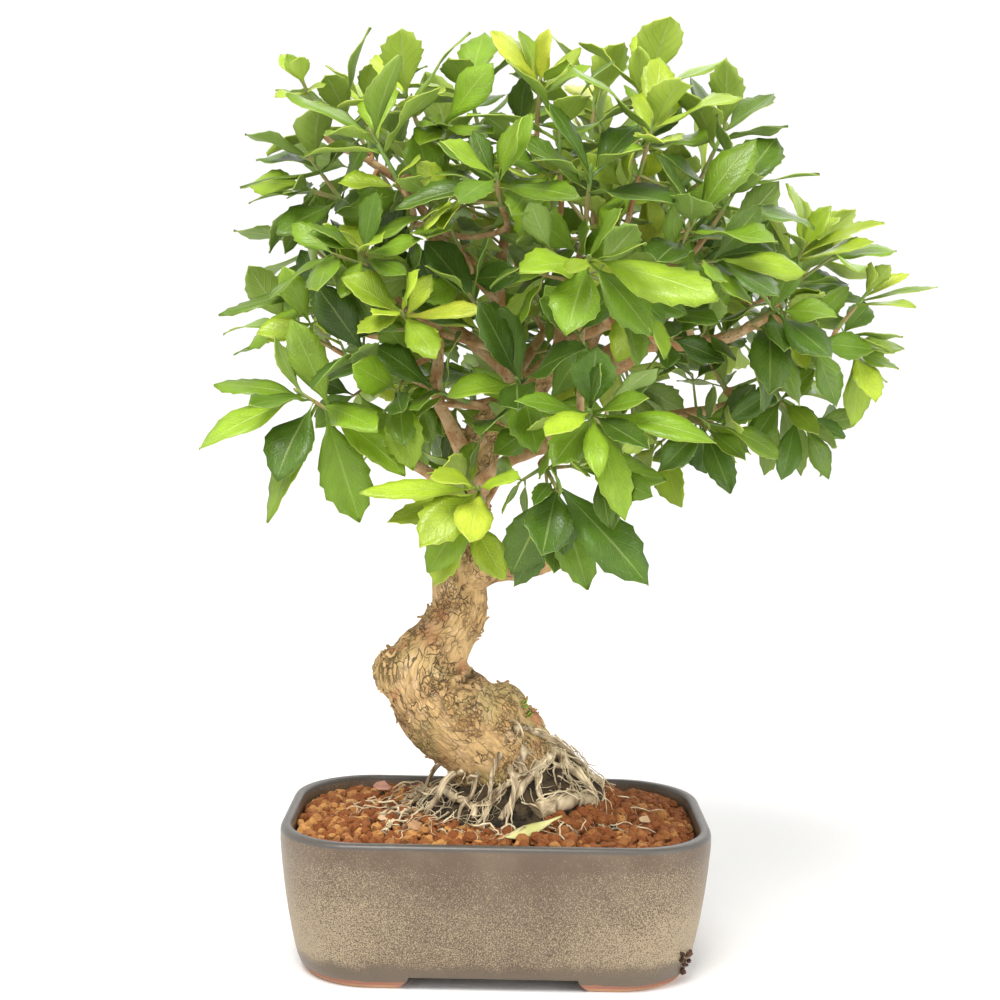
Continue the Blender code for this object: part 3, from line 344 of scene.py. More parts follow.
def blade_shape(leaf, margin=0.0):
    """Points and triangles of one blade: a thin lens with a toothed edge."""
    half = BLADE_HALF + margin
    points = []
    edges = []
    outline = OWN_EDGE if leaf["own"] and leaf["half"] > 0.0085 else EDGE
    for sign in (-1, 1):
        row = []
        for t, share in outline:
            stalk = (STALK_HALF + margin) / (leaf["half"] + margin)
            across = max(share * (1 + margin / leaf["half"]), stalk)
            row.append(len(points))
            points.append(blade_point(leaf, t, sign * across))
        edges.append(row)
    tip = len(points)
    points.append(blade_point(leaf, 1.0 + margin / leaf["length"], 0.0))
    top, low, keel = tip + 1, tip + 2, tip + 3
    middle = blade_point(leaf, RIB, 0.0)
    points += [middle + leaf["up"] * half, middle - leaf["up"] * half]
    points.append(blade_point(leaf, 0.0, 0.0) - leaf["up"] * half * 1.8)
    ring = edges[0] + [tip] + edges[1][::-1]
    triangles = []
    for start, end in zip(ring, ring[1:]):
        triangles += [(start, end, top), (end, start, low)]
    left, right = ring[0], ring[-1]
    triangles += [(right, left, top), (left, right, keel), (left, keel, low), (keel, right, low)]
    return points, triangles


def new_leaf(root, tip, width, sky, rng, own=False):
    """A leaf from its root on the stem to its tip, with its upper face to sky."""
    along = (tip - root).normalized()
    up = sky - along * sky.dot(along)
    up.normalize()
    droop = rng.uniform(0.02, 0.16)
    length = (tip - root).length
    aim = along * length + up * droop * length
    along = aim.normalized()
    up = (up - along * up.dot(along)).normalized()
    return {"root": root + along * 0.0002, "along": along, "up": up, "side": along.cross(up),
            "length": length, "half": width / 2, "droop": droop, "fold": rng.uniform(0.05, 0.35),
            "wave": rng.uniform(0.0, 0.16), "phase": rng.uniform(0, 6.28), "own": own}


def prism(start, end, radius):
    """A four-sided bar round a straight run of wood."""
    along = (end - start).normalized()
    side = along.orthogonal().normalized()
    up = along.cross(side)
    points = []
    for middle in (start, end):
        for direction in (side, up, -side, -up):
            points.append(middle + direction * radius)
    faces = [(i, (i + 1) % 4, 4 + (i + 1) % 4, 4 + i) for i in range(4)]
    faces += [(3, 2, 1, 0), (4, 5, 6, 7)]
    return points, faces


def bars(path, radii, margin):
    """One search tree round a whole run of wood."""
    points, faces = [], []
    for start, end, radius in zip(path, path[1:], radii):
        more, shapes = prism(start, end, (radius + margin) * 1.2)
        faces += [tuple(i + len(points) for i in shape) for shape in shapes]
        points += more
    return BVHTree.FromPolygons(points, faces)


def plan_all():
    """All leafy stems with their leaves, then the short shoots between them."""
    sprays = []
    for name, base, tip, pairs, length, age, own in FRONT_STEMS:
        base, tip, length, own = metres((base, tip, length, own))
        sprays.append({"name": name, "stem": [Vector(base), Vector(tip)], "pairs": pairs,
                "size": length, "age": age, "own": own})
    for name, tip, reach, pairs, length, age in OPEN_STEMS:
        tip, reach, length = metres((tip, reach, length))
        tip = Vector(tip)
        out = (tip - CROWN_HEART).normalized()
        out = (out + Vector((0.0, 0.0, 0.35))).normalized()
        sprays.append({"name": name, "stem": [tip - out * reach, tip], "pairs": pairs,
                "size": length, "age": age, "own": []})
    wood = []
    for name, table in [("trunk", TRUNK)] + list(LIMBS.items()):
        path, radii = limb_path(table, 3)
        wood.append((name, bars(path, radii, 0.0012)))
    for spray in sprays:
        place_stem(spray, wood)
    stems = [item for item in wood if item[0].endswith(" stem")]
    segments = limb_segments()
    for spray in sprays:
        place_twig(spray, segments, stems, wood)
    taken = []
    for spray in sprays:
        place_leaves(spray, wood, taken)
    return sprays, plan_inner(sprays, wood, taken)


def place_stem(spray, wood):
    """Turn the stem about its tip until it is clear of all wood so far."""
    rng = random.Random(spray["name"] + "stem")
    base, tip = spray["stem"]
    for attempt in range(40):
        nudge = any_way(rng)
        start = base + nudge * 0.0006 * attempt
        bar = bars([start, tip], [STEM_RADIUS], 0.0007)
        if not any(bar.overlap(other) for _, other in wood):
            break
    spray["stem"] = [start, tip]
    wood.append((spray["name"] + " stem", bar))


def place_twig(spray, segments, stems, wood):
    """Sway the twig that carries the stem until it is clear of the other stems."""
    rng = random.Random(spray["name"] + "twig")
    for attempt in range(40):
        nudge = any_way(rng)
        sway = Vector((0.0, 0.0, -0.08)) + nudge * 0.012 * attempt
        path, radii = twig_path(spray["stem"], segments, sway)
        bar = bars(path, radii, 0.0004)
        own = spray["name"] + " stem"
        if not any(name != own and bar.overlap(other) for name, other in stems):
            break
    spray["twig"] = (path, radii)
    wood.append((spray["name"], bars(path, radii, 0.0008)))


def fits(leaf, spray, wood, taken):
    """True if the leaf's blade is clear of all wood and of every other blade."""
    points, faces = blade_shape(leaf, 0.0006)
    tree = BVHTree.FromPolygons(points, faces)
    for name, bar in wood:
        if name != spray["name"] + " stem" and tree.overlap(bar):
            return False
    middle = leaf["root"] + leaf["along"] * leaf["length"] / 2
    for owner, centre, reach, other in taken:
        near = (middle - centre).length < (leaf["length"] + reach) / 2 + 0.004
        if near and owner is not spray and tree.overlap(other):
            return False
        if near and owner is spray and tree.overlap(other):
            inner = BVHTree.FromPolygons(*outer_half(leaf))
            if inner.overlap(other):
                return False
    taken.append((spray, middle, leaf["length"], tree))
    spray["leaves"].append(leaf)
    return True


def outer_half(leaf):
    """The blade beyond its stalk, as a small fan of triangles."""
    points = [blade_point(leaf, 0.22, 0.0), blade_point(leaf, 0.5, -1.0), blade_point(leaf, 0.75,
            -0.75), blade_point(leaf, 1.0, 0.0), blade_point(leaf, 0.75, 0.75), blade_point(leaf,
            0.5, 1.0)]
    return points, [(0, 1, 2), (0, 2, 3), (0, 3, 4), (0, 4, 5)]


def place_leaves(spray, wood, taken):
    """Put the spray's own leaves on first, then its pairs from base to tip."""
    rng = random.Random(SEED + sum(ord(letter) for letter in spray["name"]))
    base, tip, along = stem_frame(spray)
    spray["leaves"] = []
    own = spray["own"]
    for i, (end, width) in enumerate(own):
        share = 0.94 - 0.42 * i / max(len(own), 1)
        for attempt in range(10):
            root = base.lerp(tip, share - 0.03 * (attempt % 3))
            nudge = any_way(rng)
            target = Vector(end) + nudge * 0.0022 * attempt
            sky = Vector((0.0, -0.55, 0.75)) + along * 0.35 + nudge * 0.05 * attempt
            leaf = new_leaf(root, target, width, sky, rng, own=True)
            if fits(leaf, spray, wood, taken):
                break
    spin = rng.uniform(0, math.pi)
    across = along.orthogonal().normalized()
    for pair in range(spray["pairs"]):
        up_share = (pair + 1) / spray["pairs"]
        root = base.lerp(tip, 0.30 + 0.66 * up_share ** 0.7)
        for half_turn in (0, 1):
            for attempt in range(14):
                jitter = 0.10 + 0.07 * attempt
                turn = spin + math.pi / 2 * pair + math.pi * half_turn
                turn += rng.uniform(-1, 1) * jitter
                lean = math.radians(78 - 36 * up_share) + rng.uniform(-1, 1) * jitter
                size = spray["size"] * rng.uniform(0.86, 1.14) * (1 - 0.020 * attempt)
                size *= 1 - 0.15 * up_share
                outward = Matrix.Rotation(turn, 3, along) @ across
                aim = along * math.cos(lean) + outward * math.sin(lean)
                aim.z -= 0.22 * (1 - up_share)
                end = root + aim.normalized() * size
                sky = along * 0.8 + Vector((0.0, 0.0, 0.6))
                width = size * rng.uniform(0.42, 0.52)
                leaf = new_leaf(root, end, width, sky, rng)
                if fits(leaf, spray, wood, taken):
                    break

# Fine surface sizes
LEAF_ROWS = 15
LEAF_COLUMNS = 4
PROFILE = [(0.0, 0.045), (0.10, 0.07), (0.19, 0.22), (0.32, 0.58), (0.46, 0.88), (0.60, 1.0),
    (0.71, 0.95), (0.82, 0.72), (0.92, 0.40), (1.0, 0.02)]
FIRST_TOOTH_ROW = 7
SHORT_SHOOTS = 80
GAP_SHOOTS = 110
GRAIN_KINDS = 8

# Roots given by their way in the photograph's pixels and width
MARKED_ROOTS = [([(551, 753), (537, 767), (525, 784), (514, 799), (505, 812), (501, 820)], 0.0023),
    ([(525, 770), (512, 780), (500, 793), (489, 809), (477, 824)], 0.0014),
    ([(526, 748), (521, 756), (519, 763), (522, 772)], 0.0030),
    ([(444, 789), (457, 799), (466, 803), (474, 808), (473, 817)], 0.0023),
    ([(470, 805), (482, 805), (494, 802)], 0.0014), ([(512, 729), (524, 728), (537, 735),
    (560, 747), (574, 758), (586, 771)], 0.0017), ([(552, 764), (568, 768), (580, 774),
    (597, 779)], 0.0018), ([(534, 812), (548, 806), (562, 803), (578, 801), (594, 803)], 0.0046),
    ([(566, 747), (578, 759), (600, 772), (618, 786), (636, 798)], 0.0011),
    ([(500, 752), (494, 768), (491, 784), (495, 800)], 0.0013),
    ([(462, 770), (452, 782), (440, 790), (424, 798)], 0.0013),
    ([(430, 785), (416, 790), (404, 800), (398, 812)], 0.0011),
    ([(418, 783), (404, 786), (392, 796), (384, 808)], 0.0010),
    ([(380, 815), (396, 808), (414, 812), (432, 808)], 0.0011),]
MOUND_CRUMBS = 1100
SKIRT_CRUMBS = 500
FOOT_GRAINS = 210
FOOT_SPAN = (-1.25, 0.35)
FOOT_TOP = 0.0825
CLOD_CRUMBS = 46
CLOD_ACROSS = (680, 691)
CLOD_DOWN = (950, 978)
CAMERA_X = -0.0009
LEAF_SHINE = 0.38
# The photograph is 1000 pixels wide, on a sensor 36 mm wide
HALF_PICTURE = 500
PIXEL_MM = 0.036
SENSOR_MM = 36.0
# Loose flakes on the bark, and how often a shoot's place is tried
FLAKES = 300
SHORT_TRIES = 900
GAP_TRIES = 2600
# Windows in the crown, in the photograph's pixels, where limbs show between leaves
OPEN_WINDOWS = [(585, 290, 800, 385), (520, 280, 600, 400), (440, 310, 525, 430), (640, 385, 760,
    425)]
CHIPS = [("pink_chip", (384, 791), (0.0062, 0.0042, 0.0030), (0.50, 0.25, 0.18, 1.0)),
    ("tan_flake", (418, 829), (0.0072, 0.0036, 0.0022), (0.52, 0.30, 0.15, 1.0)), ("pale_flake",
    (646, 823), (0.0040, 0.0026, 0.0020), (0.66, 0.46, 0.28, 1.0)), ("small_flake", (383, 821),
    (0.0030, 0.0022, 0.0018), (0.60, 0.40, 0.24, 1.0))]
RED_PATCHES = [((-0.035, -0.016, 0.167), 0.010), ((-0.030, -0.014, 0.176), 0.007),
    ((-0.018, -0.016, 0.150), 0.006), ((0.004, -0.012, 0.204), 0.016), ((-0.006, -0.012, 0.147),
    0.009)]
KNEE_SCAR = Vector((-0.060, -0.013, 0.150))
KNOT_RING = Vector((-0.016, -0.024, 0.136))
WORN_FACE = Vector((-0.026, -0.040, 0.119))
# Fold where the upper trunk lies over the lower mass, seen from the front
FOLD = [Vector((-0.0105, 0.1475)), Vector((-0.0172, 0.1443)), Vector((-0.0239, 0.1412)),
    Vector((-0.0317, 0.1376)), Vector((-0.0419, 0.1337))]


def colour(name, text, default):
    """A setting that holds an opaque colour."""
    return FloatVectorProperty(name=name, description=text, subtype="COLOR", size=4,
            default=(*default, 1.0), min=0, max=1)


def length(name, text, default):
    """A setting that holds a length."""
    return FloatProperty(name=name, description=text, default=default, unit="LENGTH")


class BonsaiPot(bpy.types.PropertyGroup):
    """The pot's finish."""
    glaze: colour("Glaze", "Brown-grey body of the glaze", (0.104, 0.068, 0.042))
    fleck: colour("Fleck", "Pale flecks that break through the glaze", (0.365, 0.285, 0.178))
    clay: colour("Clay", "Unglazed clay of the feet", (0.34, 0.130, 0.080))
    clay_band: length("Clay band", "Height of the unglazed foot", 0.0038)


class BonsaiSoil(bpy.types.PropertyGroup):
    """The clay grains."""
    grain: length("Grain", "Mean radius of a grain", 0.0031)
    count: IntProperty(name="Count", description="Grains laid on the soil", default=1900, min=100)
    rust: colour("Rust", "Dark baked clay", (0.255, 0.076, 0.016))
    ochre: colour("Ochre", "Pale baked clay", (0.560, 0.275, 0.080))


class BonsaiWood(bpy.types.PropertyGroup):
    """Bark, limbs and roots."""
    bark: colour("Bark", "Pale face of the bark's plates", (0.620, 0.420, 0.192))
    fissure: colour("Fissure", "Dark brown between the plates", (0.060, 0.034, 0.014))
    limb: colour("Limb", "Warm bark of limbs and twigs", (0.420, 0.215, 0.085))
    voxel: length("Voxel", "Fineness of the trunk's grown surface", 0.00085)
    furrow: length("Furrow", "Depth of the bark's fissures", 0.0011)
    fine_roots: IntProperty(name="Fine roots", description="Thin roots over the mound",
            default=430, min=10)


class BonsaiLeaf(bpy.types.PropertyGroup):
    """Leaf colours and thickness."""
    thickness: length("Thickness", "Thickness of a blade", 0.00042)
    old: colour("Old", "Old dark leaves", (0.056, 0.120, 0.007))
    mid: colour("Mid", "Grown leaves", (0.192, 0.330, 0.015))
    young: colour("Young", "Young bright leaves", (0.352, 0.470, 0.030))


class BonsaiStage(bpy.types.PropertyGroup):
    """Camera and light."""
    distance: length("Distance", "Camera to the pot's middle", 0.8639)
    height: length("Height", "Camera above the table", 0.3014)
    tilt: FloatProperty(name="Tilt", description="Camera looks down by this", default=0.0777,
            subtype="ANGLE", unit="ROTATION")
    roll: FloatProperty(name="Roll", description="Camera's lean", default=0.0181, subtype="ANGLE",
            unit="ROTATION")
    lens: FloatProperty(name="Lens", description="Focal length in mm", default=61.2)


def settings(name):
    return getattr(bpy.context.scene, "bonsai_" + name)


def alone(thing):
    """Make one object the only one selected and active."""
    bpy.ops.object.select_all(action="DESELECT")
    thing.select_set(True)
    bpy.context.view_layer.objects.active = thing


def active():
    return bpy.context.view_layer.objects.active


def edit_all():
    """Start editing the active mesh, with all of it selected."""
    bpy.ops.object.mode_set(mode="EDIT")
    bpy.ops.mesh.select_all(action="SELECT")


def end_edit():
    """Turn all selected faces outward and end the editing."""
    bpy.ops.mesh.normals_make_consistent(inside=False)
    bpy.ops.object.mode_set(mode="OBJECT")


def apply_modifiers(thing):
    alone(thing)
    for modifier in list(thing.modifiers):
        bpy.ops.object.modifier_apply(modifier=modifier.name)


def joined(things, name):
    """Several objects as one."""
    bpy.ops.object.select_all(action="DESELECT")
    for thing in things:
        thing.select_set(True)
    bpy.context.view_layer.objects.active = things[0]
    if len(things) > 1:
        bpy.ops.object.join()
    whole = active()
    whole.name = name
    return whole


def place(thing, slot, node=None):
    """Let a finished piece ride on the plant, and stand for a solid of the frame."""
    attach(thing, "root")
    if node:
        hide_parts(node)


def mesh_piece(name, mesh):
    thing = bpy.data.objects.new(name, mesh)
    bpy.context.scene.collection.objects.link(thing)
    return thing


def strands(name, lines, extra_sides):
    """Closed round strands, each given by its path and its radii, as one mesh."""
    curve = bpy.data.curves.new(name, "CURVE")
    curve.dimensions = "3D"
    curve.bevel_depth = 1.0
    curve.bevel_resolution = extra_sides
    curve.use_fill_caps = True
    for path, radii in lines:
        spline = curve.splines.new("POLY")
        spline.points.add(len(path) - 1)
        for spot, point, radius in zip(spline.points, path, radii):
            spot.co = (*(point + SHIFT), 1.0)
            spot.radius = radius
    thing = mesh_piece(name, curve)
    alone(thing)
    bpy.ops.object.convert(target="MESH")
    thing = active()
    edit_all()
    bpy.ops.mesh.remove_doubles(threshold=0.00001)
    end_edit()
    bpy.ops.object.shade_smooth_by_angle(angle=math.radians(50))
    return thing


def float_attribute(mesh, name, values):
    layer = mesh.attributes.new(name, "FLOAT", "POINT")
    layer.data.foreach_set("value", values)


class Shader:
    """A material's node tree, with short calls to add and join nodes."""

    def __init__(self, name, tree=None):
        self.material = None
        if tree is None:
            self.material = bpy.data.materials.new(name)
            self.material.use_nodes = True
            tree = self.material.node_tree
        self.tree = tree

    def node(self, kind, **values):
        made = self.tree.nodes.new(kind)
        for key, value in values.items():
            setattr(made, key, value)
        return made

    def join(self, start, end):
        self.tree.links.new(start, end)

    def put(self, value, socket):
        if isinstance(value, bpy.types.NodeSocket):
            self.join(value, socket)
        else:
            socket.default_value = value

    def maths(self, operation, first, second=0.0, clamp=False):
        made = self.node("ShaderNodeMath", operation=operation, use_clamp=clamp)
        self.put(first, made.inputs[0])
        self.put(second, made.inputs[1])
        return made.outputs[0]

    def times(self, first, second, clamp=False):
        return self.maths("MULTIPLY", first, second, clamp)

    def plus(self, first, second, clamp=False):
        return self.maths("ADD", first, second, clamp)

    def less(self, first, second, clamp=False):
        return self.maths("SUBTRACT", first, second, clamp)

    def rest(self, value):
        """What value leaves of 1."""
        return self.maths("SUBTRACT", 1.0, value)

    def scaled(self, value, factor, offset):
        """value times factor plus offset"""
        made = self.node("ShaderNodeMath", operation="MULTIPLY_ADD")
        self.put(value, made.inputs[0])
        made.inputs[1].default_value = factor
        made.inputs[2].default_value = offset
        return made.outputs[0]

    def near(self, vector, spot, radius):
        """1 round a place on the piece's front, fading to 0 at radius."""
        flat = Vector((1.0, 0.25, 1.0))
        made = self.node("ShaderNodeVectorMath", operation="DISTANCE")
        self.put(self.stretched(vector, flat), made.inputs[0])
        made.inputs[1].default_value = (Vector(spot) + SHIFT) * flat
        return self.rest(self.ramp(made.outputs["Value"], 0.0, radius))

    def warped(self, vector, scale, reach):
        """The vector pushed about by a soft noise, to curl a pattern's lines."""
        spots = self.node("ShaderNodeTexNoise")
        self.put(vector, spots.inputs["Vector"])
        spots.inputs["Scale"].default_value = scale
        spots.inputs["Detail"].default_value = 3.0
        offset = self.node("ShaderNodeVectorMath", operation="MULTIPLY_ADD")
        self.join(spots.outputs["Color"], offset.inputs[0])
        offset.inputs[1].default_value = (reach, reach, reach)
        self.join(vector, offset.inputs[2])
        return offset.outputs[0]

    def lines(self, vector, scale, start, end):
        """1 on the thin borders between cells, 0 on the cells."""
        edge = self.cells(vector, scale, "DISTANCE_TO_EDGE")
        return self.rest(self.ramp(edge, start, end))

    def mix(self, share, first, second, blend="MIX"):
        made = self.node("ShaderNodeMix", data_type="RGBA", blend_type=blend)
        self.put(share, made.inputs["Factor"])
        self.put(first, made.inputs[6])
        self.put(second, made.inputs[7])
        return made.outputs[2]

    def ramp(self, value, low, high):
        """0 below low, 1 above high, smooth between."""
        made = self.node("ShaderNodeMapRange", interpolation_type="SMOOTHSTEP")
        self.put(value, made.inputs["Value"])
        made.inputs["From Min"].default_value = low
        made.inputs["From Max"].default_value = high
        return made.outputs["Result"]

    def place_on_object(self):
        return self.node("ShaderNodeTexCoord").outputs["Object"]

    def attribute(self, name):
        return self.node("ShaderNodeAttribute", attribute_name=name).outputs["Fac"]

    def noise(self, vector, scale, detail=4.0, rough=0.55):
        made = self.node("ShaderNodeTexNoise")
        self.put(vector, made.inputs["Vector"])
        made.inputs["Scale"].default_value = scale
        made.inputs["Detail"].default_value = detail
        made.inputs["Roughness"].default_value = rough
        return made.outputs["Fac"]

    def cells(self, vector, scale, feature="F1"):
        made = self.node("ShaderNodeTexVoronoi", feature=feature)
        self.put(vector, made.inputs["Vector"])
        made.inputs["Scale"].default_value = scale
        return made.outputs["Distance"]

    def stretched(self, vector, scale):
        made = self.node("ShaderNodeMapping")
        self.put(vector, made.inputs["Vector"])
        made.inputs["Scale"].default_value = scale
        return made.outputs["Vector"]

    def finish(self, colour, roughness, height=None, distance=0.0005, strength=1.0):
        shader = self.tree.nodes["Principled BSDF"]
        self.put(colour, shader.inputs["Base Color"])
        self.put(roughness, shader.inputs["Roughness"])
        if height is not None:
            bump = self.node("ShaderNodeBump")
            bump.inputs["Distance"].default_value = distance
            bump.inputs["Strength"].default_value = strength
            self.join(height, bump.inputs["Height"])
            self.join(bump.outputs["Normal"], shader.inputs["Normal"])
        return shader


def mottle_group():
    """A shader group: soft patches over fine grain, for wood, clay and leaves."""
    if "Mottle" in bpy.data.node_groups:
        return bpy.data.node_groups["Mottle"]
    group = bpy.data.node_groups.new("Mottle", "ShaderNodeTree")
    group.interface.new_socket("Vector", in_out="INPUT", socket_type="NodeSocketVector")
    coarse = group.interface.new_socket("Coarse", in_out="INPUT", socket_type="NodeSocketFloat")
    fine = group.interface.new_socket("Fine", in_out="INPUT", socket_type="NodeSocketFloat")
    coarse.default_value, fine.default_value = 40.0, 400.0
    group.interface.new_socket("Patches", in_out="OUTPUT", socket_type="NodeSocketFloat")
    group.interface.new_socket("Grain", in_out="OUTPUT", socket_type="NodeSocketFloat")
    shader = Shader("Mottle", group)
    entry = shader.node("NodeGroupInput")
    leave = shader.node("NodeGroupOutput")
    for source, target, detail in (("Coarse", "Patches", 3.0), ("Fine", "Grain", 5.0)):
        spots = shader.node("ShaderNodeTexNoise")
        spots.inputs["Detail"].default_value = detail
        shader.join(entry.outputs["Vector"], spots.inputs["Vector"])
        shader.join(entry.outputs[source], spots.inputs["Scale"])
        shader.join(spots.outputs["Fac"], leave.inputs[target])
    return group


def mottle(shader, vector, coarse, fine):
    """Patches and grain from the shared group."""
    made = shader.node("ShaderNodeGroup", node_tree=mottle_group())
    shader.join(vector, made.inputs["Vector"])
    made.inputs["Coarse"].default_value = coarse
    made.inputs["Fine"].default_value = fine
    return made.outputs["Patches"], made.outputs["Grain"]


def leaf_upper():
    """Upper face: age gives the green, with a thin pale rib and a net of veins."""
    colours = settings("leaf")
    shader = Shader("leaf_upper")
    age = shader.attribute("age")
    tone = shader.attribute("tone")
    across = shader.attribute("across")
    along = shader.attribute("along")
    at = shader.place_on_object()
    patches, grain = mottle(shader, at, 70.0, 800.0)
    young = shader.ramp(age, 0.45, 1.0)
    grown = shader.ramp(age, 0.0, 0.55)
    green = shader.mix(grown, tuple(colours.old), tuple(colours.mid))
    green = shader.mix(young, green, tuple(colours.young))
    yellow = shader.ramp(tone, 0.80, 1.0)
    yellow = shader.times(yellow, shader.ramp(age, 0.25, 0.8))
    yellow = shader.times(yellow, shader.scaled(patches, 1.1, 0.0))
    green = shader.mix(yellow, green, (0.43, 0.40, 0.050, 1.0))
    dim = shader.scaled(tone, 0.56, 0.70)
    dim = shader.times(dim, shader.scaled(patches, 0.9, 0.55))
    dull = shader.node("ShaderNodeHueSaturation")
    shader.join(green, dull.inputs["Color"])
    shader.join(dim, dull.inputs["Value"])
    green = dull.outputs["Color"]
    veins = side_veins(shader, across, along, 0.88)
    net = shader.cells(at, 520.0, "DISTANCE_TO_EDGE")
    net = shader.rest(shader.ramp(net, 0.03, 0.12))
    rib = shader.rest(shader.ramp(across, 0.015, 0.075))
    pale = shader.mix(0.45, green, (0.46, 0.56, 0.17, 1.0))
    fresh = shader.scaled(age, 0.22, 0.07)
    green = shader.mix(shader.times(veins, fresh), green, pale)
    deep = shader.times(net, shader.scaled(age, 0.22, 0.04))
    green = shader.mix(deep, green, tuple(colours.mid))
    green = shader.mix(shader.times(rib, 0.55), green, pale)
    specks = shader.rest(shader.ramp(shader.cells(at, 330.0), 0.04, 0.10))
    green = shader.mix(shader.times(specks, 0.30), green, (0.50, 0.55, 0.38, 1.0))
    rough = shader.scaled(patches, 0.24, 0.22)
    height = shader.times(shader.plus(veins, rib), -1.0)
    height = shader.less(height, shader.times(net, 0.45))
    height = shader.plus(height, shader.times(grain, 0.30))
    skin = shader.finish(green, rough, height, 0.00022, 0.7)
    skin.inputs["Specular IOR Level"].default_value = LEAF_SHINE
    return shader.material


def side_veins(shader, across, along, start):
    """Veins that leave the rib at a slant: they follow length less half the width."""
    slant = shader.maths("MULTIPLY_ADD", across, -0.30)
    shader.join(along, slant.node.inputs[2])
    wave = shader.maths("SINE", shader.times(slant, 46.0))
    return shader.ramp(wave, start, 1.0)


def leaf_edge():
    """Thin margin of a blade, paler than the blade: partly its own pale edge, partly painted
    highlight where the edge catches the light.
    """
    shader = Shader("leaf_edge")
    age = shader.attribute("age")
    patches, grain = mottle(shader, shader.place_on_object(), 200.0, 900.0)
    # Partly painted highlight: these greens are paler than the blade's, for light caught on the
    # thin edge as well as its own pale margin.
    colour = shader.mix(age, (0.16, 0.27, 0.035, 1.0), (0.50, 0.60, 0.070, 1.0))
    colour = shader.mix(shader.times(shader.ramp(patches, 0.5, 0.7), 0.6), colour,
            (0.52, 0.50, 0.10, 1.0))
    shader.finish(colour, 0.5, grain, 0.0002, 0.4)
    return shader.material


def leaf_under():
    """Under face: greyish green with raised pale veins. Its light green is partly its own and
    partly painted light that shines through the blade.
    """
    colours = settings("leaf")
    shader = Shader("leaf_under")
    age = shader.attribute("age")
    across = shader.attribute("across")
    along = shader.attribute("along")
    patches, grain = mottle(shader, shader.place_on_object(), 60.0, 700.0)
    # Partly painted light: these greens are lighter than the under face's own, standing in for
    # light that shines through the blade.
    old = (0.215, 0.330, 0.060, 1.0)
    green = shader.mix(shader.ramp(age, 0.2, 0.9), old, (0.46, 0.60, 0.085, 1.0))
    veins = side_veins(shader, across, along, 0.80)
    rib = shader.rest(shader.ramp(across, 0.03, 0.10))
    pale = shader.mix(0.5, green, (0.55, 0.60, 0.30, 1.0))
    green = shader.mix(shader.times(veins, 0.35), green, pale)
    green = shader.mix(shader.times(rib, 0.7), green, pale)
    green = shader.mix(shader.times(patches, 0.3), green, tuple(colours.mid))
    height = shader.plus(shader.plus(veins, rib), shader.times(grain, 0.4))
    shader.finish(green, 0.58, height, 0.0003, 0.8)
    return shader.material


def green_stem():
    """Young stem: green that turns brown towards its twig."""
    shader = Shader("green_stem")
    patches, grain = mottle(shader, shader.place_on_object(), 90.0, 900.0)
    colour = shader.mix(shader.ramp(patches, 0.35, 0.65), (0.20, 0.32, 0.07, 1.0),
            (0.36, 0.26, 0.11, 1.0))
    shader.finish(colour, 0.6, grain, 0.0003, 0.6)
    return shader.material


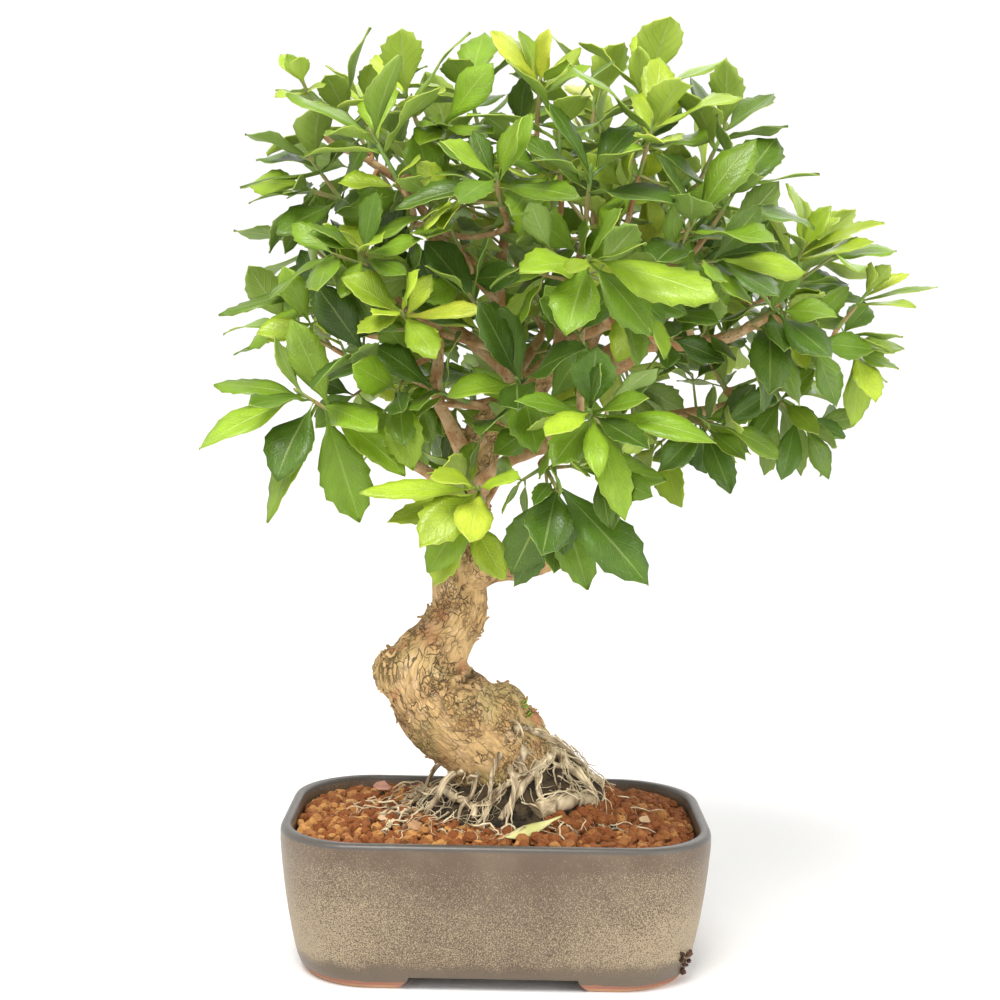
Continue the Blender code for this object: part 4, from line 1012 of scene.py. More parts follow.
def trunk_bark():
    """Tan flaky bark: thin curly cracks that follow the trunk, greenish low down."""
    colours = settings("wood")
    shader = Shader("trunk_bark")
    at = shader.place_on_object()
    straight = shader.node("ShaderNodeAttribute", attribute_name="straight").outputs["Vector"]
    crack = shader.attribute("crack")
    patches, grain = mottle(shader, at, 60.0, 1100.0)
    curled = shader.warped(straight, 75.0, 0.016)
    long_lines = shader.lines(shader.stretched(curled, (1.0, 1.0, 0.38)), 270.0, 0.004, 0.052)
    long_lines = shader.times(long_lines, shader.ramp(shader.noise(straight, 80.0, 2.0), 0.38,
            0.58))
    flakes = shader.warped(straight, 260.0, 0.006)
    small_lines = shader.lines(shader.stretched(flakes, (1.0, 1.0, 0.48)), 480.0, 0.01, 0.10)
    small_lines = shader.times(small_lines, shader.ramp(shader.noise(at, 60.0, 2.0), 0.42, 0.58))
    streaks = shader.noise(shader.stretched(straight, (1.0, 1.0, 0.22)), 620.0, 4.0, 0.6)
    # Partly painted shade: the crack map also holds the fold under the upper trunk, which this
    # darkens with the fissure colour.
    deep = shader.ramp(crack, 0.50, 1.0)
    dark = shader.maths("MAXIMUM", shader.times(long_lines, 0.88), shader.times(small_lines, 0.62))
    dark = shader.maths("MAXIMUM", dark, shader.times(deep, 0.72))
    worn = shader.near(at, WORN_FACE, 0.024)
    dark = shader.times(dark, shader.scaled(worn, -0.80, 1.0))
    parts = shader.node("ShaderNodeSeparateXYZ")
    shader.join(at, parts.inputs[0])
    z = parts.outputs["Z"]
    warm = shader.mix(shader.ramp(patches, 0.35, 0.70), tuple(colours.bark), (0.500, 0.300, 0.115,
            1.0))
    warm = shader.mix(shader.ramp(shader.noise(straight, 130.0, 2.0), 0.52, 0.68), warm,
            (0.70, 0.49, 0.27, 1.0))
    shade = shader.mix(shader.ramp(streaks, 0.30, 0.70), (0.74, 0.72, 0.68, 1.0),
            (1.10, 1.08, 1.06, 1.0))
    warm = shader.mix(1.0, warm, shade, "MULTIPLY")
    low = shader.rest(shader.ramp(z, 0.130, 0.180))
    moss = shader.times(low, shader.ramp(shader.noise(at, 42.0), 0.44, 0.62))
    warm = shader.mix(shader.times(moss, 0.42), warm, (0.36, 0.33, 0.11, 1.0))
    red = shader.ramp(shader.noise(at, 48.0, 2.0), 0.60, 0.70)
    for spot, radius in RED_PATCHES:
        mark = shader.times(shader.near(at, spot, radius), shader.scaled(patches, 1.6, 0.2))
        red = shader.maths("MAXIMUM", red, mark)
    warm = shader.mix(shader.times(red, 0.70, clamp=True), warm, (0.46, 0.180, 0.080, 1.0))
    foot = shader.rest(shader.ramp(z, 0.088, 0.106))
    foot = shader.times(foot, shader.ramp(streaks, 0.42, 0.58))
    dark = shader.maths("MAXIMUM", dark, shader.times(foot, 0.85))
    colour = shader.mix(dark, warm, tuple(colours.fissure))
    height = shader.less(shader.scaled(streaks, 0.7, 0.0), shader.maths("MAXIMUM", long_lines,
            small_lines))
    height = shader.plus(height, shader.times(grain, 0.35))
    shader.finish(colour, 0.88, height, 0.0012, 1.0)
    return shader.material


def flake():
    """Loose bark flakes, each with its own tan."""
    colours = settings("wood")
    shader = Shader("flake")
    patches, grain = mottle(shader, shader.place_on_object(), 300.0, 1200.0)
    colour = shader.mix(shader.attribute("tone"), (0.40, 0.25, 0.115, 1.0), tuple(colours.bark))
    colour = shader.mix(shader.times(shader.ramp(patches, 0.5, 0.7), 0.5), colour,
            (0.26, 0.15, 0.065, 1.0))
    shader.finish(colour, 0.88, grain, 0.0004, 0.8)
    return shader.material


def limb_bark():
    """Warm orange-tan bark of limbs and twigs with small scars."""
    colours = settings("wood")
    shader = Shader("limb_bark")
    at = shader.place_on_object()
    patches, grain = mottle(shader, at, 120.0, 900.0)
    scars = shader.cells(at, 420.0)
    dark = shader.rest(shader.ramp(scars, 0.10, 0.32))
    colour = shader.mix(shader.ramp(patches, 0.35, 0.68), tuple(colours.limb), (0.60, 0.42, 0.23,
            1.0))
    colour = shader.mix(shader.times(dark, 0.5), colour, (0.20, 0.09, 0.04, 1.0))
    height = shader.less(grain, dark)
    shader.finish(colour, 0.78, height, 0.0005, 0.8)
    return shader.material


def root_skin():
    """Pale thin roots."""
    shader = Shader("root_skin")
    at = shader.place_on_object()
    tone = shader.attribute("tone")
    patches, grain = mottle(shader, at, 150.0, 900.0)
    colour = shader.mix(tone, (0.120, 0.072, 0.032, 1.0), (0.84, 0.71, 0.47, 1.0))
    colour = shader.mix(shader.times(shader.ramp(patches, 0.50, 0.75), 0.8), colour,
            (0.22, 0.14, 0.060, 1.0))
    shader.finish(colour, 0.8, grain, 0.0004, 0.7)
    return shader.material


def peat():
    """Dark crumbs between the roots."""
    shader = Shader("peat")
    at = shader.place_on_object()
    patches, grain = mottle(shader, at, 160.0, 1200.0)
    colour = shader.mix(shader.ramp(patches, 0.35, 0.65), (0.016, 0.011, 0.006, 1.0),
            (0.085, 0.056, 0.028, 1.0))
    shader.finish(colour, 0.95, grain, 0.0012, 1.0)
    return shader.material


def baked_clay():
    """Rust to ochre grains, each with its own tone."""
    colours = settings("soil")
    shader = Shader("baked_clay")
    at = shader.place_on_object()
    tone = shader.attribute("tone")
    patches, grain = mottle(shader, at, 320.0, 1000.0)
    share = shader.plus(shader.ramp(tone, 0.35, 1.0), shader.times(shader.less(patches, 0.5), 0.5),
            clamp=True)
    colour = shader.mix(share, tuple(colours.rust), tuple(colours.ochre))
    pits = shader.rest(shader.ramp(grain, 0.30, 0.46))
    colour = shader.mix(shader.times(pits, 0.55), colour, (0.09, 0.030, 0.012, 1.0))
    shader.finish(colour, 0.95, grain, 0.0014, 1.0)
    return shader.material


def glaze():
    """Brown-grey glaze, thick with fine pale flecks low down, bare clay at the feet."""
    colours = settings("pot")
    shader = Shader("glaze")
    at = shader.place_on_object()
    parts = shader.node("ShaderNodeSeparateXYZ")
    shader.join(at, parts.inputs[0])
    x, z = parts.outputs["X"], parts.outputs["Z"]
    patches, grain = mottle(shader, at, 16.0, 1900.0)
    cloud = shader.noise(at, 34.0, 5.0, 0.6)
    body = shader.mix(shader.ramp(cloud, 0.35, 0.65), tuple(colours.glaze), (0.138, 0.098, 0.064,
            1.0))
    worms = shader.noise(shader.warped(at, 900.0, 0.0005), 1850.0, 1.0, 0.4)
    middle = shader.maths("ABSOLUTE", shader.less(x, SHIFT.x + 0.004))
    amount = shader.scaled(shader.ramp(middle, 0.030, 0.105), 0.75, 0.0)
    amount = shader.plus(amount, shader.scaled(shader.ramp(z, 0.020, 0.066), -0.95, 0.95))
    amount = shader.plus(amount, shader.scaled(patches, 1.5, -0.80))
    amount = shader.less(amount, shader.scaled(shader.ramp(z, 0.058, 0.070), 0.8, 0.0))
    band = colours.clay_band
    ragged = shader.plus(z, shader.scaled(shader.noise(at, 60.0), 0.012, -0.006))
    low_line = shader.rest(shader.ramp(ragged, 0.0065, 0.0160))
    amount = shader.less(amount, shader.scaled(low_line, 1.6, 0.0))
    threshold = shader.plus(worms, shader.scaled(amount, 0.12, -0.06))
    mask = shader.ramp(threshold, 0.53, 0.60)
    mask = shader.times(mask, shader.scaled(amount, 0.25, 0.62), clamp=True)
    colour = shader.mix(mask, body, tuple(colours.fleck))
    colour = shader.mix(shader.times(low_line, 0.75), colour, (0.128, 0.098, 0.066, 1.0))
    rim = shader.ramp(z, 0.0708, 0.0722)
    colour = shader.mix(shader.times(rim, 0.85), colour, (0.070, 0.066, 0.062, 1.0))
    inside = shader.ramp(cloud, 0.3, 0.7)
    edge = shader.plus(z, shader.scaled(shader.noise(at, 90.0), 0.003, -0.0015))
    bare = shader.rest(shader.ramp(edge, band - 0.0004, band + 0.0004))
    clay = shader.mix(shader.ramp(z, 0.0008, 0.0022), (0.60, 0.34, 0.18, 1.0), tuple(colours.clay))
    clay = shader.mix(shader.times(inside, 0.5), clay, (0.30, 0.16, 0.11, 1.0))
    colour = shader.mix(bare, colour, clay)
    rough = shader.scaled(mask, 0.22, 0.34)
    rough = shader.plus(rough, shader.times(bare, 0.4), clamp=True)
    height = shader.plus(shader.scaled(mask, 0.8, 0.0), shader.scaled(grain, 0.4, 0.0))
    height = shader.plus(height, shader.scaled(cloud, 1.5, 0.0))
    shader.finish(colour, rough, height, 0.0003, 0.5)
    return shader.material


def plain_colour(name, low, high, roughness, scale=160.0):
    """A matt material that wanders between two near colours."""
    shader = Shader(name)
    patches, grain = mottle(shader, shader.place_on_object(), scale, 1200.0)
    colour = shader.mix(shader.ramp(patches, 0.35, 0.65), low, high)
    shader.finish(colour, roughness, grain, 0.0004, 0.6)
    return shader.material


def profile_width(t):
    """Half width of a blade at t, as a share of its widest."""
    for (low_t, low_w), (high_t, high_w) in zip(PROFILE, PROFILE[1:]):
        if t <= high_t:
            share = (t - low_t) / (high_t - low_t)
            share = share * share * (3 - 2 * share) * 0.5 + share * 0.5
            return low_w + (high_w - low_w) * share
    return PROFILE[-1][1]


def leaf_sheet():
    """The flat grid that every blade is shaped from."""
    bpy.ops.mesh.primitive_grid_add(x_subdivisions=LEAF_COLUMNS, y_subdivisions=LEAF_ROWS, size=2)
    return active()


def shape_blade(sheet, leaf, rng):
    """A copy of the grid bent to one leaf, wavy, twisted and toothed near its tip."""
    mesh = sheet.data.copy()
    toothed = rng.uniform(0.25, 1.0)
    twist = rng.uniform(-0.24, 0.24)
    cup = rng.uniform(-0.26, 0.12)
    curl = rng.uniform(-0.02, 0.11)
    waves = rng.uniform(8.0, 13.0)
    across, along = [], []
    for vertex in mesh.vertices:
        s = vertex.co.x
        t = (vertex.co.y + 1) / 2
        row = round(t * LEAF_ROWS)
        profile = profile_width(t)
        width = s * profile
        if abs(s) > 0.99 and FIRST_TOOTH_ROW <= row < LEAF_ROWS:
            out = row % 2 == 1
            width *= 1 + toothed * (0.075 if out else -0.045)
            t += toothed * (0.020 if out else -0.016)
        lift = twist * t * s * profile + cup * s * s * profile
        lift += 0.11 * abs(s) * math.sin(waves * t + leaf["phase"] * 2 + 1.7 * (s > 0))
        lift = lift * leaf["half"] - curl * leaf["length"] * 2 * max(0.0, t - 0.5) ** 2
        vertex.co = blade_point(leaf, t, width) + leaf["up"] * lift + SHIFT
        across.append(abs(s))
        along.append(t)
    count = len(mesh.vertices)
    float_attribute(mesh, "across", across)
    float_attribute(mesh, "along", along)
    float_attribute(mesh, "age", [leaf["age"]] * count)
    float_attribute(mesh, "tone", [leaf["tone"]] * count)
    return mesh_piece("blade", mesh)


def stem_lines(spray):
    """The stem, swollen where its leaf pairs sit, and the bud at its end."""
    base, tip, along = stem_frame(spray)
    path = [base.lerp(tip, i / 12) for i in range(13)]
    radii = [STEM_RADIUS * (1.0 - 0.25 * i / 12) * (1.15 if i % 3 == 0 else 1.0)
            for i in range(13)]
    bud = [tip + along * reach for reach in (-0.0006, 0.0008, 0.0022, 0.0036)]
    return [(path, radii), (bud, [0.0009, 0.0013, 0.0010, 0.0003])]


def thicken(blades, name):
    """Give joined blades their thickness, with their own under face."""
    whole = joined(blades, name)
    whole.data.materials.clear()
    whole.data.materials.append(bpy.data.materials["leaf_upper"])
    whole.data.materials.append(bpy.data.materials["leaf_under"])
    whole.data.materials.append(bpy.data.materials["leaf_edge"])
    solid = whole.modifiers.new("thickness", "SOLIDIFY")
    solid.thickness = settings("leaf").thickness
    solid.offset = -1
    solid.material_offset = 1
    solid.material_offset_rim = 2
    solid.use_even_offset = False
    apply_modifiers(whole)
    bpy.ops.object.shade_smooth()
    return whole


def leaf_age(kind, rng):
    """0 for an old dark leaf, 1 for a young bright one."""
    middle = {"old": 0.08, "mid": 0.38, "young": 0.86}[kind]
    return min(1.0, max(0.0, rng.gauss(middle, 0.20)))


def dress_leaves(spray, rng):
    for leaf in spray["leaves"]:
        leaf["age"] = leaf_age(spray["age"], rng)
        leaf["tone"] = rng.random()


def material_of(name):
    return bpy.data.materials[name]


def give(thing, *names):
    thing.data.materials.clear()
    for name in names:
        thing.data.materials.append(material_of(name))
    return thing


def rounded_plate(name, width, depth, corner, z):
    """A flat plate with rounded corners, left in edit mode with its face selected."""
    bpy.ops.mesh.primitive_plane_add(size=1.0, location=SHIFT + Vector((0.0, 0.0, z)))
    thing = active()
    thing.name = name
    thing.scale = (width, depth, 1.0)
    bpy.ops.object.transform_apply(location=True, rotation=False, scale=True)
    edit_all()
    bpy.ops.mesh.bevel(offset=corner, segments=12, affect="VERTICES")
    bpy.ops.mesh.select_all(action="SELECT")
    return thing


def next_ring(size, wanted, rise):
    """Extrude the selected face up and bring it to a wanted width and depth."""
    bpy.ops.mesh.extrude_region_move(TRANSFORM_OT_translate={"value": (0.0, 0.0, rise)})
    ratio = (wanted[0] / size[0], wanted[1] / size[1], 1.0)
    bpy.ops.transform.resize(value=ratio, center_override=SHIFT)
    return wanted


def cut_away(thing, width, depth, corner, height, slope=0.0):
    """Cut a rounded block with sloping sides out of the underside."""
    cutter = rounded_plate("cutter", width, depth, corner, -0.01)
    bpy.ops.mesh.extrude_region_move(TRANSFORM_OT_translate={"value": (0.0, 0.0, 0.01)})
    narrow = ((width - 2 * slope) / width, (depth - 2 * slope) / depth, 1.0)
    for part in range(1, 4):
        bpy.ops.mesh.extrude_region_move(TRANSFORM_OT_translate={"value": (0.0, 0.0, height / 3)})
        ratio = [1.0 - (1.0 - side) * math.sin(part * math.pi / 6) for side in narrow]
        last = [1.0 - (1.0 - side) * math.sin((part - 1) * math.pi / 6) for side in narrow]
        bpy.ops.transform.resize(value=(ratio[0] / last[0], ratio[1] / last[1], 1.0),
                center_override=SHIFT)
    bpy.ops.mesh.select_all(action="SELECT")
    end_edit()
    cut = thing.modifiers.new("cut", "BOOLEAN")
    cut.operation = "DIFFERENCE"
    cut.solver = "EXACT"
    cut.object = cutter
    apply_modifiers(thing)
    bpy.data.objects.remove(cutter)


def make_pot():
    """The shell from its foot up over the rolled lip and down inside."""
    def span(inset):
        return (RIM_WIDTH - 2 * inset, RIM_DEPTH - 2 * inset)

    steps = [(inset, z) for inset, z in POT_OUTSIDE] + POT_LIP
    size = span(steps[0][0])
    pot = rounded_plate("pot_shell", *size, CORNER_RADIUS - steps[0][0] * 0.7, 0.0)
    level = 0.0
    for inset, z in steps[1:]:
        size = next_ring(size, span(inset), z - level)
        level = z
    bpy.ops.mesh.select_all(action="SELECT")
    end_edit()
    inset = POT_OUTSIDE[0][0] + FOOT_WIDTH
    cut_away(pot, *span(inset), CORNER_RADIUS - inset * 0.7, FOOT_HEIGHT)
    cut_away(pot, FOOT_GAP_FRONT + 0.005, RIM_DEPTH + 0.02, 0.0010, FOOT_HEIGHT, 0.0055)
    cut_away(pot, RIM_WIDTH + 0.02, FOOT_GAP_SIDE + 0.005, 0.0010, FOOT_HEIGHT, 0.0055)
    edge = pot.modifiers.new("edge", "BEVEL")
    edge.width = 0.0005
    edge.segments = 2
    edge.angle_limit = math.radians(50)
    apply_modifiers(pot)
    bpy.ops.object.shade_smooth_by_angle(angle=math.radians(42))
    return give(pot, "glaze")


def soil_top(point):
    """Height of the soil's surface at a place in the pot's own frame."""
    best = min((Vector(((point.x - spot.x), (point.y - spot.y)))).length for spot in MOUND_RIM)
    wall = distance_to_wall(point)
    share = wall / max(wall + best, 0.0001)
    return POT_HEIGHT - SOIL_BELOW_RIM + SOIL_CROWN * math.sin(share * math.pi / 2)


def distance_to_wall(point):
    """How far a place lies inside the pot's inner face, negative outside it."""
    half_x = RIM_WIDTH / 2 - WALL
    half_y = RIM_DEPTH / 2 - WALL
    radius = CORNER_RADIUS - WALL * 0.7
    dx = abs(point.x) - (half_x - radius)
    dy = abs(point.y) - (half_y - radius)
    outside = Vector((max(dx, 0.0), max(dy, 0.0))).length
    return radius - outside - min(max(dx, dy), 0.0)


def in_mound(point, margin=0.0):
    """True where the root mound stands."""
    away = point - MOUND_CENTRE
    angle = math.atan2(away.y / MOUND_RADIUS[1], away.x / MOUND_RADIUS[0])
    ripple = 1.0 + 0.05 * math.sin(3 * angle + 0.6) + 0.012 * math.sin(5 * angle)
    reach = Vector((away.x / (MOUND_RADIUS[0] * ripple + margin), away.y / (MOUND_RADIUS[1]
            * ripple + margin))).length
    return reach < 1.0


MOUND_RIM = mound_outline(0.0, 0.0, 48)
KNEE = metres([(-38, -6, 146.5, 20.5), (-28, -2, 162, 16)])
SHOULDER = metres([((0, 2, 124), 16.5), ((10, 4, 114), 15)])


def make_soil_bed():
    """Dark fill under the grains."""
    width, depth = RIM_WIDTH - 2 * WALL - 0.0012, RIM_DEPTH - 2 * WALL - 0.0012
    bed = rounded_plate("soil_bed", width, depth, CORNER_RADIUS - WALL * 0.7, 0.020)
    size = next_ring((width, depth), (width, depth), 0.040)
    for ratio in (0.88, 0.74, 0.60, 0.46):
        bpy.ops.mesh.extrude_region_move()
        wanted = (width * ratio, depth * ratio)
        bpy.ops.transform.resize(value=(wanted[0] / size[0], wanted[1] / size[1], 1.0),
                center_override=SHIFT)
        size = wanted
    bpy.ops.mesh.select_all(action="SELECT")
    end_edit()
    for vertex in bed.data.vertices:
        if vertex.co.z > 0.05:
            vertex.co.z = soil_top(vertex.co - SHIFT) - 0.0030
    return give(bed, "peat")


def grain_shapes(rng, kinds=GRAIN_KINDS, fineness=2, cuts=5):
    """A few clay grains, rounded lumps with knocked corners."""
    shapes = []
    for kind in range(kinds):
        bpy.ops.object.select_all(action="DESELECT")
        bpy.ops.mesh.primitive_ico_sphere_add(subdivisions=fineness, radius=1.0)
        grain = active()
        bpy.ops.object.mode_set(mode="EDIT")
        for _ in range(cuts):
            normal = wander(rng)
            spot = normal * rng.uniform(0.62, 0.85)
            bpy.ops.mesh.select_all(action="SELECT")
            bpy.ops.mesh.bisect(plane_co=spot, plane_no=normal, clear_outer=True, use_fill=True)
        bpy.ops.object.mode_set(mode="OBJECT")
        thin = grain.modifiers.new("thin", "DECIMATE")
        thin.ratio = 0.60
        apply_modifiers(grain)
        for vertex in grain.data.vertices:
            bump = noise.noise(vertex.co * 1.6 + Vector((kind * 7.0, 0.0, 0.0)))
            vertex.co *= 1.0 + 0.22 * bump
        shapes.append(grain.data.copy())
        bpy.data.objects.remove(grain)
    return shapes


def merged(name, parts):
    """One mesh from many (mesh, matrix, tone) copies."""
    points, faces, tones = [], [], []
    for mesh, matrix, tone in parts:
        start = len(points)
        points += [matrix @ vertex.co for vertex in mesh.vertices]
        faces += [[i + start for i in polygon.vertices] for polygon in mesh.polygons]
        tones += [tone] * len(mesh.vertices)
    mesh = bpy.data.meshes.new(name)
    mesh.from_pydata(points, [], faces)
    mesh.update()
    float_attribute(mesh, "tone", tones)
    return mesh_piece(name, mesh)


def make_grains():
    """Grains dropped over the soil until it is covered, in a left and a right pile."""
    rng = random.Random(SEED)
    shapes = grain_shapes(rng)
    mean = settings("soil").grain
    piles = [[], []]
    placed = []
    tries = 0
    wanted = settings("soil").count
    while len(placed) < wanted and tries < wanted * 30:
        tries += 1
        point = Vector((rng.uniform(-0.5, 0.5) * RIM_WIDTH, rng.uniform(-0.5, 0.5) * RIM_DEPTH,
                0.0))
        radius = mean * (rng.uniform(0.60, 1.30) if rng.random() < 0.8 else rng.uniform(0.3, 0.5))
        if distance_to_wall(point) < radius * 0.95 or in_mound(point, -0.002 - radius):
            continue
        layer = len(placed) / wanted
        gap = 0.62 + 0.50 * (1 - layer)
        if any((point.xy - other.xy).length < gap * (radius + size) * 0.80 for other,
                size in placed[-260:]):
            continue
        placed.append((point.copy(), radius))
        point.z = soil_top(point) - 0.0032 + 0.0026 * layer + rng.uniform(-0.0006, 0.0006)
        matrix = Matrix.LocRotScale(point + SHIFT, any_way(rng).to_track_quat("Z", "Y"),
                Vector((radius * rng.uniform(0.9, 1.25), radius, radius * rng.uniform(0.75, 1.0))))
        tone = max(0.0, rng.random() ** 1.3 - (0.16 if point.x > 0.02 else -0.04))
        piles[point.x > 0].append((rng.choice(shapes), matrix, tone))
    made = []
    for name, pile in zip(("grains_left", "grains_right"), piles):
        thing = merged(name, pile)
        alone(thing)
        bpy.ops.object.shade_smooth_by_angle(angle=math.radians(32))
        made.append(give(thing, "baked_clay"))
    return made


def make_mound_mesh():
    """The mound as a finer closed lump, for the trunk to grow from."""
    rings = []
    count = 48
    for z in (MOUND_FOOT + 0.004, MOUND_SOIL_LINE):
        rings.append(mound_outline(-0.0015, z, count))
    top = Vector((0.011, 0.006, MOUND_TOP))
    for share, spread in ((0.20, 0.90), (0.35, 0.79), (0.50, 0.68), (0.62, 0.58), (0.75, 0.47),
            (0.85, 0.38)):
        z = MOUND_SOIL_LINE + (MOUND_TOP - MOUND_SOIL_LINE) * share
        ring = []
        for point in rings[1]:
            level = Vector((point.x, point.y, z))
            left = max(0.0, (MOUND_CENTRE.x - point.x) / MOUND_RADIUS[0])
            slim = spread * (1.0 - 0.22 * left * math.sin(math.pi * share))
            ring.append(Vector((top.x, top.y, z)).lerp(level, slim))
        rings.append(ring)
    points = [point + SHIFT for ring in rings for point in ring]
    faces = []
    for r in range(len(rings) - 1):
        for i in range(count):
            j = (i + 1) % count
            faces.append((r * count + i, r * count + j, (r + 1) * count + j, (r + 1) * count + i))
    faces.append(tuple(range(count))[::-1])
    faces.append(tuple((len(rings) - 1) * count + i for i in range(count)))
    mesh = bpy.data.meshes.new("mound")
    mesh.from_pydata(points, [], faces)
    mesh.update()
    return mesh_piece("root_mound", mesh)


def swelling(spot, radius):
    bpy.ops.mesh.primitive_uv_sphere_add(segments=20, ring_count=12, radius=radius,
            location=Vector(spot) + SHIFT)
    knot = active()
    bpy.ops.object.transform_apply(location=True, rotation=False, scale=False)
    return knot


def remeshed(thing, voxel):
    skinned = thing.modifiers.new("skin", "REMESH")
    skinned.mode = "VOXEL"
    skinned.voxel_size = voxel
    apply_modifiers(thing)


def relax(thing, factor, repeat):
    smooth = thing.modifiers.new("relax", "SMOOTH")
    smooth.factor = factor
    smooth.iterations = repeat
    apply_modifiers(thing)


class StraightTrunk:
    """Reads a place on the winding trunk as if the trunk stood straight."""

    def __init__(self, path):
        self.tree = KDTree(len(path))
        self.frames = []
        run = 0.0
        side = Vector((1.0, 0.0, 0.0))
        for i, point in enumerate(path):
            ahead = path[min(i + 1, len(path) - 1)] - path[max(i - 1, 0)]
            ahead.normalize()
            side = (side - ahead * side.dot(ahead)).normalized()
            self.frames.append((point, ahead, side, ahead.cross(side), run))
            run += (path[min(i + 1, len(path) - 1)] - point).length
            self.tree.insert(point, i)
        self.tree.balance()

    def read(self, spot):
        _, index, _ = self.tree.find(spot)
        point, ahead, side, up, run = self.frames[index]
        away = spot - point
        return Vector((away.dot(side), away.dot(up), run + away.dot(ahead)))


def bark_crack(place):
    """How deep the bark is cracked at a straightened place, 1 in a fissure."""
    warp = noise.noise_vector(place * 60.0) * 0.009
    spot = place + warp
    spot = Vector((spot.x * 120.0, spot.y * 120.0, spot.z * 55.0))
    distances, _ = noise.voronoi(spot)
    edge = distances[1] - distances[0]
    ready = 0.5 + 0.8 * noise.noise(place * 45.0 + Vector((5, 5, 5)))
    return min(1.0, max(0.0, 1.0 - edge / 0.22) * max(0.0, ready))


def knee_scar(point):
    """Ridges that curl round the old wound at the knee's end, and round the knot."""
    away = (point - KNEE_SCAR).length
    ridge = math.sin(away * 1900.0 + 3.0 * noise.noise(point * 120.0))
    rough = noise.noise(point * 300.0)
    scar = (ridge * 0.6 + rough) * max(0.0, 1.0 - away / 0.017)
    ring = (point - KNOT_RING).length
    scar -= 1.3 * math.exp(-((ring - 0.0058) / 0.0011) ** 2)
    return scar


def fold(point):
    """1 in the fold under the upper trunk, on the front, fading beside it and to its end. It
    presses a groove in and paints shade along it.
    """
    if point.y > 0.004:
        return 0.0
    spot = Vector((point.x, point.z))
    depth = 0.0
    for i, (start, end) in enumerate(zip(FOLD, FOLD[1:])):
        nearest, share = intersect_point_line(spot, start, end)
        if not 0.0 <= share <= 1.0:
            nearest = start if share < 0.0 else end
        away = (spot - Vector(nearest[:2])).length
        depth = max(depth, math.exp(-(away / 0.0018) ** 2) * (1.0 - 0.14 * i))
    return depth


def furrow_bark(thing, line, depth):
    """Press the fissures in and let the plates stand, and keep their map, which also holds painted
    shade in the fold under the upper trunk.
    """
    mesh = thing.data
    straight = StraightTrunk(line)
    moves, cracks, places = [], [], []
    for vertex in mesh.vertices:
        point = vertex.co - SHIFT
        place_there = straight.read(point)
        crack = bark_crack(place_there)
        plate = noise.noise(place_there * 130.0) * 0.5 + noise.noise(point * 330.0) * 0.30
        scar = knee_scar(point)
        fold_groove_and_shade = fold(point)
        moves.append(vertex.normal * depth * (plate - crack + scar - 3.3 * fold_groove_and_shade))
        # The fold's depth also goes into the crack map as painted shade, darkening the bark under
        # the upper trunk.
        cracks.append(min(1.0, crack * 0.9 + max(0.0, -scar) * 0.8 + fold_groove_and_shade * 0.9))
        places += list(place_there)
    for vertex, move in zip(mesh.vertices, moves):
        vertex.co += move
    mesh.update()
    float_attribute(mesh, "crack", cracks)
    layer = mesh.attributes.new("straight", "FLOAT_VECTOR", "POINT")
    layer.data.foreach_set("vector", places)


def push_out(thing, amount):
    """Move each point along its normal by an amount worked out from its place."""
    mesh = thing.data
    moves = [vertex.normal * amount(vertex.co) for vertex in mesh.vertices]
    for vertex, move in zip(mesh.vertices, moves):
        vertex.co += move
    mesh.update()


def make_trunk():
    """Trunk, stump and knots grown into one skin, furrowed like bark."""
    rows = TRUNK[:4] + KNEE + TRUNK[6:]
    lines = [limb_path(rows, 8)]
    stump = [(x, y, z + 0.0025, max(r, 0.0102)) for x, y, z, r in LIMBS["stump"]]
    lines.append(limb_path(stump, 6))
    trunk = strands("trunk", lines, 8)
    knots = [swelling(spot, radius) for spot, radius in KNOTS + SHOULDER]
    trunk = joined([trunk] + knots, "trunk")
    remeshed(trunk, settings("wood").voxel)
    relax(trunk, 0.5, 14)
    push_out(trunk, lambda spot: noise.noise(spot * 36.0) * 0.0020 + noise.noise(spot * 80.0)
            * 0.0010)
    furrow_bark(trunk, limb_path(TRUNK, 24)[0], settings("wood").furrow)
    alone(trunk)
    bpy.ops.object.shade_smooth()
    return give(trunk, "trunk_bark")


def bark_flakes(trunk, count):
    """Small curled flakes that stand off the trunk beside its cracks."""
    rng = random.Random(SEED + 5)
    bpy.ops.mesh.primitive_grid_add(x_subdivisions=2, y_subdivisions=3, size=1.0)
    flake = active()
    for vertex in flake.data.vertices:
        x, y = vertex.co.x, vertex.co.y
        vertex.co = Vector((x * (1.0 - 1.1 * y * y), y, 0.55 * (y + 0.5) ** 2 - 0.5 * x * x))
    solid = flake.modifiers.new("thickness", "SOLIDIFY")
    solid.thickness = 0.16
    apply_modifiers(flake)
    mesh = trunk.data
    cracks = mesh.attributes["crack"].data
    spots = [i for i in range(len(mesh.vertices)) if cracks[i].value > 0.35]
    parts = []
    for _ in range(count):
        vertex = mesh.vertices[rng.choice(spots)]
        normal = vertex.normal
        if vertex.co.z < 0.098:
            continue
        along = Vector((rng.gauss(0, 0.5), rng.gauss(0, 0.5), rng.choice((-1, 1))))
        along = (along - normal * along.dot(normal)).normalized()
        side = along.cross(normal)
        turn = Matrix((side, along, normal)).transposed().to_4x4()
        long = rng.uniform(0.0022, 0.0052)
        size = Matrix.Diagonal((long * rng.uniform(0.35, 0.7), long, long * 0.8, 1.0))
        parts.append((flake.data, Matrix.Translation(vertex.co + normal * 0.0002) @ turn @ size,
                rng.random()))
    whole = merged("bark_flakes", parts)
    bpy.data.objects.remove(flake)
    alone(whole)
    edit_all()
    end_edit()
    bpy.ops.object.shade_smooth_by_angle(angle=math.radians(40))
    return give(whole, "flake")


